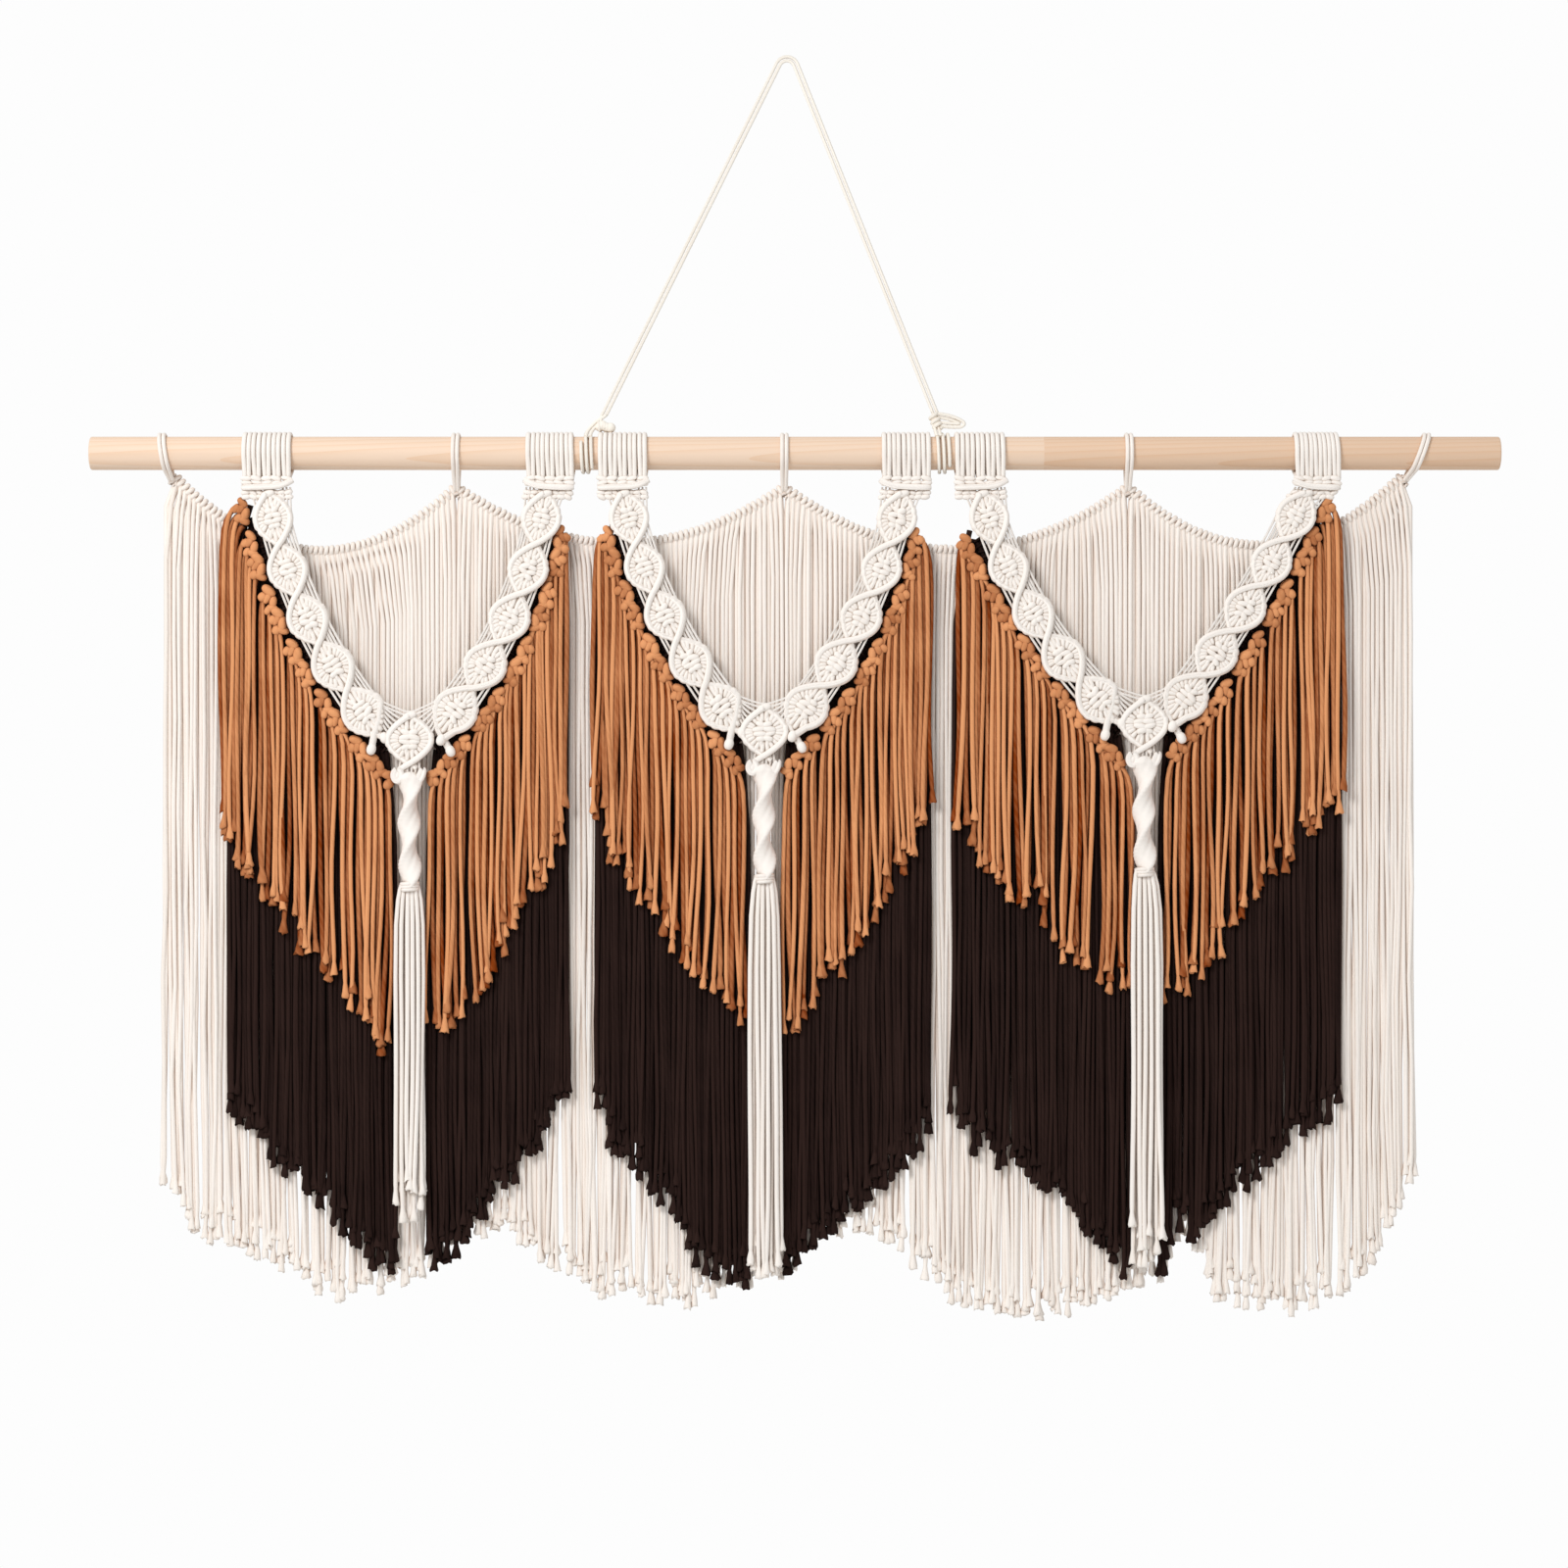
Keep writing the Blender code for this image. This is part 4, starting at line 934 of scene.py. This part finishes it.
# y of what lies in a diamond: its backing at the ends and in the middle, a fanned string at the
# rope and at the knot, the knot, and the strings that leave it from its middle outwards
BACKING_Y = (-0.0100, -0.0103)
FAN_Y = (-0.0108, -0.0121)
KNOT_Y = -0.0130
CORE_Y = (-0.0128, -0.0132, -0.0114)
EDGE_Y = -0.0106                # of the strings along a strap's edges
CROSSING_Y = -0.0122            # of the knot where the two ropes first cross
BAR_FOOT = 0.0262               # drop of the bar's lower edge
BAR_CORD = 0.0027
BAR_LUMP_Y = -0.0102            # of the lumps below the bar, and of string ends among them

# By which side a strap's inner edge is, then by rope: where the lattice ends, and its tail
STRAP_TAILS = {
    1: {1: (4.56, ((-0.0020, -0.0135), (-0.0050, -0.0240), (-0.0072, -0.0350))),
        -1: (4.95, ((0.0060, -0.0030),))},
    -1: {1: (4.80, ((-0.0052, -0.0035), (-0.0102, -0.0066))),
         -1: (4.95, ((0.0040, -0.0075), (0.0098, -0.0175)))},
}

white_cotton = cotton("white cotton string", "#FBF5EF", "#F1E8DF", "#CBBAAC", 0.004)


def smoothstep(t):
    t = np.clip(t, 0, 1)
    return t * t * (3 - 2 * t)


def lattice_place(axis, s, a, y):
    """A place in a strap: s counts diamonds along its line, a goes from -1 to 1 across it."""
    s, a, y = np.broadcast_arrays(np.asarray(s, float), np.asarray(a, float),
                                  np.asarray(y, float))
    centre, across = axis(s)
    place = centre + across * (STRAP_HALF_WIDTH * a)[..., None]
    place[..., 1] = y
    return place


def swing(s):
    """A rope's place across the strap: a wave a little fuller than a sine."""
    wave = np.sin(math.pi * np.asarray(s, float))
    return np.sign(wave) * np.abs(wave) ** 0.92


def lay_rope(cords, axis, side, start, end, rand, tail=()):
    """One of a lattice's two ropes. It lies bare and on top where it runs towards -X going down,
    and under the other, covered in half hitches, where it runs back. The tail's places, from
    the lattice's end, are x and z."""
    s = np.linspace(start, end, round((end - start) * ROPE_RINGS) + 1)
    rise = side * np.cos(math.pi * s)           # 1 where it runs towards +X
    line = lattice_place(axis, s, side * swing(s), ROPE_Y + ROPE_LIFT * rise)
    hitched = smoothstep(rise * 1.7 + 0.3)[:, None]
    angle = np.arange(ROPE_SIDES) * math.tau / ROPE_SIDES
    lumps = np.abs(np.sin(math.pi * HITCHES * 2 * s[:, None] + 0.6 * np.cos(angle))) ** 0.8
    radii = ROPE_SMOOTH * (1 - hitched) + hitched * ROPE_HITCHED * (0.72 + 0.31 * lumps)
    if len(tail):
        places = [line[-1]] + [line[-1] + (x, 0, z) for x, z in tail]
        rings = 4 * len(tail) + 1
        line = np.concatenate([line[:-1], smooth_line(places, rings)])
        radii = np.concatenate([radii[:-1], np.full((rings, ROPE_SIDES), ROPE_SMOOTH)])
        radii[-1] *= 0.6
    cords.lay(line, radii, rand.uniform(0.6, 0.85), ROPE_SIDES)
    return line[-1]


def lay_string(cords, start, end, belly, rings, thickness, tint, sides=6):
    """A short string from start to end, its middle off the straight line by the belly."""
    start, end = np.array(start), np.array(end)
    cords.lay(smooth_line([start, (start + end) / 2 - belly, end], rings), thickness, tint, sides)


def lay_diamond(cords, axis, s, rand):
    """The inside of a diamond: strings that fan from its sides into a square knot."""
    def spot(p, q, y):
        return lattice_place(axis, s + 0.5 + 0.5 * p, q, y)

    for q in BACKING_PLACES:                        # strings that pass behind
        reach = math.acos(abs(q)) * 2 / math.pi
        behind = [spot(-reach, q, BACKING_Y[0]), spot(0, q * 1.08, BACKING_Y[1]),
                  spot(reach, q, BACKING_Y[0])]
        cords.lay(smooth_line(behind, 5), BACKING_STRING, rand.uniform(0.2, 0.5), 6)
    for up in (-1, 1):
        for side in (-1, 1):
            for share in FAN_SHARES:
                share += rand.uniform(-0.03, 0.03)
                p, q = up * (1 - share), side * math.cos(math.pi / 2 * (1 - share))
                inward = math.hypot(p / KNOT_HALF[1], q / KNOT_HALF[0]) * 1.2
                lay_string(cords, spot(p, q, FAN_Y[0]), spot(p / inward, q / inward, FAN_Y[1]),
                           (0, 0.0008, 0), 6, FAN_STRING, rand.uniform(0.3, 0.85), 7)
    # the knot: turns that close round the middle strings from left and right by turns
    for row, p in enumerate((-0.62, -0.21, 0.21, 0.62)):
        wide = KNOT_HALF[0] * (0.74 if row in (0, 3) else 0.98)
        for half in (-1, 1):
            q = half * wide * rand.uniform(0.30, 0.46)
            slope = rand.uniform(-0.05, 0.22) * half * (1 if row % 2 else -1)
            ends = [spot(p * KNOT_HALF[1] - slope * 0.5, q - wide * 0.6, KNOT_Y),
                    spot(p * KNOT_HALF[1] + slope * 0.5, q + wide * 0.6, KNOT_Y)]
            bulge(cords, (ends[0] + ends[1]) / 2 - (0, rand.uniform(0, 0.0006), 0),
                  ends[1] - ends[0], np.linalg.norm(ends[1] - ends[0]),
                  KNOT_STRING * rand.uniform(0.95, 1.15), rand.uniform(0.4, 0.9))
    for end in (-1, 1):
        for side in (-0.12, 0.12):
            core = [spot(end * p, side * q, y)
                    for p, q, y in zip((0.22, 0.40, 0.66), (1, 1.2, 1.3), CORE_Y)]
            cords.lay(smooth_line(core, 6), CORE_STRING, rand.uniform(0.5, 0.9), 8)


def lay_edge_strings(cords, axis, s, side, shares, rand):
    """Straight strings along the strap's edge from one diamond's corner to the next."""
    for share in shares:
        half = 0.5 * share + 0.02
        wander = rand.uniform(-0.03, 0.03)
        line = lattice_place(axis, np.linspace(s - half, s + half, 9), side * (share + wander),
                             EDGE_Y + np.array((6, 2, 0, 0, 0, 0, 0, 2, 6)) * 0.0001)
        cords.lay(line, EDGE_STRING, rand.uniform(0.3, 0.85), 6)


def axis_of(strap):
    def axis(s):
        """The strap's middle and its sideways direction."""
        t = np.clip(np.asarray(s, float) / DIAMONDS, -0.08, 1.1)
        way = unit(curve(strap.strap, t + 0.002) - curve(strap.strap, t - 0.002))
        across = np.stack([-way[..., 2], np.zeros(t.shape), way[..., 0]], axis=-1)
        width = STRAP_TOP_WIDTH + (1 - STRAP_TOP_WIDTH) * np.clip(t, 0, 1) ** 2
        return curve(strap.strap, t), across * width[..., None]
    return axis


for number, strap in enumerate(STRAPS):
    rand = np.random.default_rng(400 + number)
    inner_side = -outward(strap)
    strap_axis = axis_of(strap)
    cords = Cords()
    low, high = strap.wraps
    pitch = (high - low) / WRAP_CORDS
    pairs = [low + pitch * (2 * i + 1) for i in range(WRAP_CORDS // 2)]
    slant = rand.uniform(0.0002, 0.0009)
    for pair in pairs:
        for side in (-1, 1):
            x = pair + side * pitch / 2 + rand.uniform(-0.0002, 0.0002)
            foot = (pair + side * WRAP_FOOT[0] + slant, *WRAP_FOOT[1:])
            line = sling_line(x, foot, ROD_RADIUS + WRAP_RADIUS, rings=26,
                              lean=slant * (pair - low) / (high - low))
            cords.lay(line, WRAP_RADIUS, rand.uniform(0.45, 0.85))
        # the pair's knot under the rod
        for turn in (0, 1):
            place = (pair + rand.uniform(-0.0006, 0.0006), -0.0114, ROD_Z - 0.0196 - 0.0034 * turn)
            bulge(cords, np.array(place), (1, 0, rand.uniform(-0.35, 0.35)), 0.0088,
                  0.0022 * rand.uniform(0.92, 1.08), rand.uniform(0.4, 0.85))
    # the bar's smooth holding cord, which ends in a small turned-up knob on the inner side
    outer_x, inner_x = strap.wraps[::inner_side]
    bar = [(outer_x + inner_side * 0.001, -0.0100, ROD_Z - BAR_FOOT),
           (outer_x + inner_side * 0.006, -0.0124, ROD_Z - 0.0264),
           (inner_x - inner_side * 0.012, -0.0126, ROD_Z - 0.0256),
           (inner_x - inner_side * 0.004, -0.0126, ROD_Z - 0.0236),
           (inner_x + inner_side * 0.001, -0.0112, ROD_Z - 0.0208)]
    cords.lay(smooth_line(bar, 26), BAR_CORD, 0.75, 10)
    # soft lumps of knots below it, in rows that fill the strap's width above the first diamond
    for drop, reach in BAR_ROWS:
        middle_x = (low + high) / 2
        middle_x += (lattice_place(strap_axis, 0, 0, 0)[0] - middle_x) * reach
        for share in np.linspace(-0.86, 0.86, 7):
            place = (middle_x + share * (high - low) / 2, BAR_LUMP_Y, ROD_Z - drop)
            bulge(cords, np.array(place), (1, 0, rand.uniform(-0.6, 0.6)), 0.0072,
                  0.0022, rand.uniform(0.4, 0.85))

    # the ropes' free ends: on left straps the smooth one hangs down to the caramel knots, on
    # right ones the hitched one does
    bulge(cords, lattice_place(strap_axis, 0.03, 0.0, CROSSING_Y), (1, 0, 0.3), 0.0105, 0.0030, 0.7)
    for side in (1, -1):
        end, tail = STRAP_TAILS[inner_side][side]
        foot = lay_rope(cords, strap_axis, side, 0.02, end, rand, tail)
        bulge(cords, foot + (0, -0.0006, 0), (tail[-1][0] * 0.4, 0, -0.01), 0.0088, 0.0036, 0.8)
    for s in range(DIAMONDS):
        lay_diamond(cords, strap_axis, s, rand)
    for s in range(1, DIAMONDS):
        lay_edge_strings(cords, strap_axis, s, inner_side, (0.44, 0.62, 0.80, 0.98), rand)
        lay_edge_strings(cords, strap_axis, s, -inner_side, (0.58, 0.80), rand)
    # above the first diamond, from the bar to its corners: first the inner ones, then the outer
    for edge_x, side, s, far, slope, belly, rings, backs in (
            (inner_x, inner_side, 0.62, 1.02, 60, 0.0004, 8, (0.0006, 0.0034, 0.0062)),
            (outer_x, -inner_side, 0.40, 1.08, 50, 0.0, 6, (0.0060, 0.0090))):
        for back in backs:
            end = lattice_place(strap_axis, s, side * (far - back * slope), BAR_LUMP_Y)
            lay_string(cords, (edge_x - side * back, EDGE_Y, ROD_Z - BAR_FOOT), end,
                       (0, belly, 0), rings, THIN_STRING, rand.uniform(0.4, 0.85))
    cords.finish(f"lattice_{strap.name}", white_cotton, f"strap_{strap.name}")

# ------------------------------------------------------------------ centre diamonds
# Where two straps meet, their strings are worked into one upright diamond of the same lattice.
# Thin strings bridge from the straps to it, and a white loop stands out on each side of its foot.
Centre = namedtuple("Centre", "x drop tie_drop foot_x foot_drop")
CENTRES = (
    Centre(-0.283, 0.217, 0.326, -0.283, 0.568),
    Centre(-0.017, 0.211, 0.320, -0.017, 0.612),
    Centre(0.268, 0.205, 0.315, 0.270, 0.602),
)
CENTRE_ABOVE = 0.0195           # from its middle up to the upper crossing
CENTRE_HEIGHT = 0.0360          # from there to the lower one
# The loops' side, half width, half height and cord radius
CENTRE_LOOPS = ((-1, 0.0030, 0.0042, 0.0029), (1, 0.0015, 0.0044, 0.0024))
CENTRE_WIDEN = 1.08             # against a strap's diamonds
LOOP_PLACE = (0.0088, -0.0026, -0.0088)     # the loops' middle, from the lower crossing
BRIDGE_Y = -0.0108
CORNER_Y = -0.0112              # of the straps' last corners and the lower crossing
TOP_Y = -0.0116                 # of the sagging strings' middle

for number, centre in enumerate(CENTRES, 1):
    rand = np.random.default_rng(500 + number)

    def centre_axis(s):
        s = np.asarray(s, float)
        drop = centre.drop - CENTRE_ABOVE + CENTRE_HEIGHT * s
        middle_line = np.stack([np.full(s.shape, centre.x), np.zeros(s.shape), ROD_Z - drop],
                               axis=-1)
        return middle_line, np.broadcast_to((CENTRE_WIDEN, 0.0, 0.0), middle_line.shape)

    cords = Cords()
    for side, end in ((1, 1.2), (-1, 1.1)):
        lay_rope(cords, centre_axis, side, 0.0, end, rand)
    bulge(cords, lattice_place(centre_axis, 0.0, 0.0, CROSSING_Y), (1, 0, 0.3), 0.0110, 0.0031, 0.7)
    lay_diamond(cords, centre_axis, 0, rand)
    corners = {}
    for side, strap in zip((-1, 1), STRAPS[2 * number - 2:2 * number]):
        axis = axis_of(strap)
        corners[side] = lattice_place(axis, DIAMONDS - 0.5, -side, CORNER_Y)
        # bridging strings, from the strap's last diamond to the centre diamond's upper side
        for share in (0.10, 0.27, 0.44, 0.61, 0.78):
            s = DIAMONDS - 0.42 + 0.40 * share
            start = lattice_place(axis, s, -side * abs(swing(s)), BRIDGE_Y)
            s = 0.05 + 0.42 * share
            end = lattice_place(centre_axis, s, side * swing(s), BRIDGE_Y)
            lay_string(cords, start, end, (0, 0.0004, 0.0006), 7, EDGE_STRING,
                       rand.uniform(0.3, 0.85))
    # two strings that sag from one strap's last corner to the other's, over the top
    top = lattice_place(centre_axis, 0.0, 0.0, TOP_Y)
    for lift in (0.0, 0.0028):
        sag = [corners[-1] + (0, 0, lift - 0.003), (corners[-1] + top) / 2 + (0, 0, lift - 0.0022),
               top + (0, -0.0006, lift), (corners[1] + top) / 2 + (0, 0, lift - 0.0022),
               corners[1] + (0, 0, lift - 0.003)]
        cords.lay(smooth_line(sag, 17), THIN_STRING, rand.uniform(0.5, 0.85), 6)
    # strings that gather below its lower crossing into the twisted cord
    low_crossing = lattice_place(centre_axis, 1.0, 0.0, CORNER_Y)
    for gather in (-1.0, -0.6, -0.2, 0.2, 0.6, 1.0):
        line = [low_crossing + (gather * 0.0065, 0.0008, 0.0030),
                low_crossing + (gather * 0.0075, -0.0010 * (1 - gather ** 2), -0.0040),
                low_crossing + (gather * 0.0070, 0, -0.0110)]
        cords.lay(smooth_line(line, 8), 0.0015, rand.uniform(0.4, 0.85), 6)
    # the loops at the foot: a round one on the left, a narrow leaning one on the right
    for side, half_wide, half_high, thickness in CENTRE_LOOPS:
        angle = np.radians(np.linspace(0, 345, 26))
        high = half_high * np.cos(angle)
        loop = low_crossing + (side * LOOP_PLACE[0], *LOOP_PLACE[1:]) + np.stack(
            [half_wide * np.sin(angle) + (0.35 * high if side > 0 else 0), 0 * high, high], axis=1)
        cords.lay(loop, thickness, rand.uniform(0.7, 0.95), 10)
        bulge(cords, loop.mean(axis=0) + (0, 0.0004, 0), (0.2 * (side > 0), 0, 1), 2 * half_high,
              half_wide, 0.8)
    cords.finish(f"centre_diamond_{number}", white_cotton, f"diamond_{number}")

# ------------------------------------------------------------------ twisted cords and tassels
# Below each centre diamond its strings are worked in half knots, which turn the cord as they go
# down so that it shows broad and narrow by turns. A tie ends it, and the strings hang free.
SINNET_WIDE = 0.0088
SINNET_THIN = 0.0050
SINNET_TURN = 0.065             # height of one whole turn
SINNET_LAST_BULGE = 0.0145      # above the tie
SINNET_Y = -0.0125
SINNET_RING = 0.0006            # between its rings
SINNET_SIDES = 28
SINNET_SWAY = 0.0006
SINNET_STRANDS = 6
SINNET_STEP = 0.0030            # from one half knot to the next
SINNET_TOP = 0.0225             # below the centre diamond's middle
TASSEL_Y = -0.0122
TASSEL_STRINGS = 15
TASSEL_HALF_WIDTH = 0.0105
TASSEL_STRING = 0.0018
TASSEL_SHOULDER = ((0.004, 0.25), (0.012, 0.55), (0.030, 0.85), (0.070, 1.0))
TIE = (0.0062, 0.0015)          # radius of its turns and of its cord

for number, centre in enumerate(CENTRES, 1):
    rand = np.random.default_rng(600 + number)
    top_drop = centre.drop + SINNET_TOP
    length = centre.tie_drop - top_drop
    cords = Cords()
    rings = round(length / SINNET_RING)
    down = np.linspace(0, length, rings)
    bend = SINNET_SWAY * np.sin(math.tau * down / SINNET_TURN)
    line = np.stack([centre.x + bend, np.full(rings, SINNET_Y), ROD_Z - top_drop - down], axis=1)
    angle = np.arange(SINNET_SIDES) * math.tau / SINNET_SIDES
    above = (length - SINNET_LAST_BULGE - down)[:, None]
    turned = angle[None, :] + math.tau * above / SINNET_TURN
    oval = 1 / np.sqrt((np.cos(turned) / SINNET_WIDE) ** 2 + (np.sin(turned) / SINNET_THIN) ** 2)
    strands = 0.5 + 0.5 * np.cos(SINNET_STRANDS * turned)
    knots = np.cos(turned) ** 6 * np.cos(math.tau * down[:, None] / SINNET_STEP)
    closing = smoothstep((down - length + 0.006) / 0.006)[:, None]
    opening = ((0.1 + 0.9 * np.sqrt(np.clip(down / 0.005, 0, 1)))
               * (1 + 0.16 * smoothstep(1 - down / 0.020)))[:, None]
    radii = oval * opening * (0.93 + 0.07 * strands + 0.014 * knots) * (1 - 0.16 * closing)
    cords.lay(line, radii, 0.7, SINNET_SIDES)
    tie_z = ROD_Z - centre.tie_drop
    cords.lay(coil((centre.x, TASSEL_Y, tie_z + 0.0030), (centre.x, TASSEL_Y, tie_z - 0.0022),
                   TIE[0], 2.4, 50), TIE[1], 0.55)
    for place, x in enumerate(bunched(-1, 1, TASSEL_STRINGS, rand, loose=1.35)):
        row = (place * 2) % 3 - 1
        y = TASSEL_Y + row * 0.0027 + rand.uniform(-0.0004, 0.0004)
        foot = ROD_Z - centre.foot_drop - rand.uniform(-0.024, 0.010)
        root = (centre.x + x * 0.0056, TASSEL_Y + row * 0.0022, tie_z + 0.002)
        hang(cords, root, centre.foot_x + x * TASSEL_HALF_WIDTH, y, foot, TASSEL_STRING, rand,
             shoulder=TASSEL_SHOULDER, drift=0.0035)
    cords.finish(f"tassel_strings_{number}", white_cotton, f"tassel_{number}")
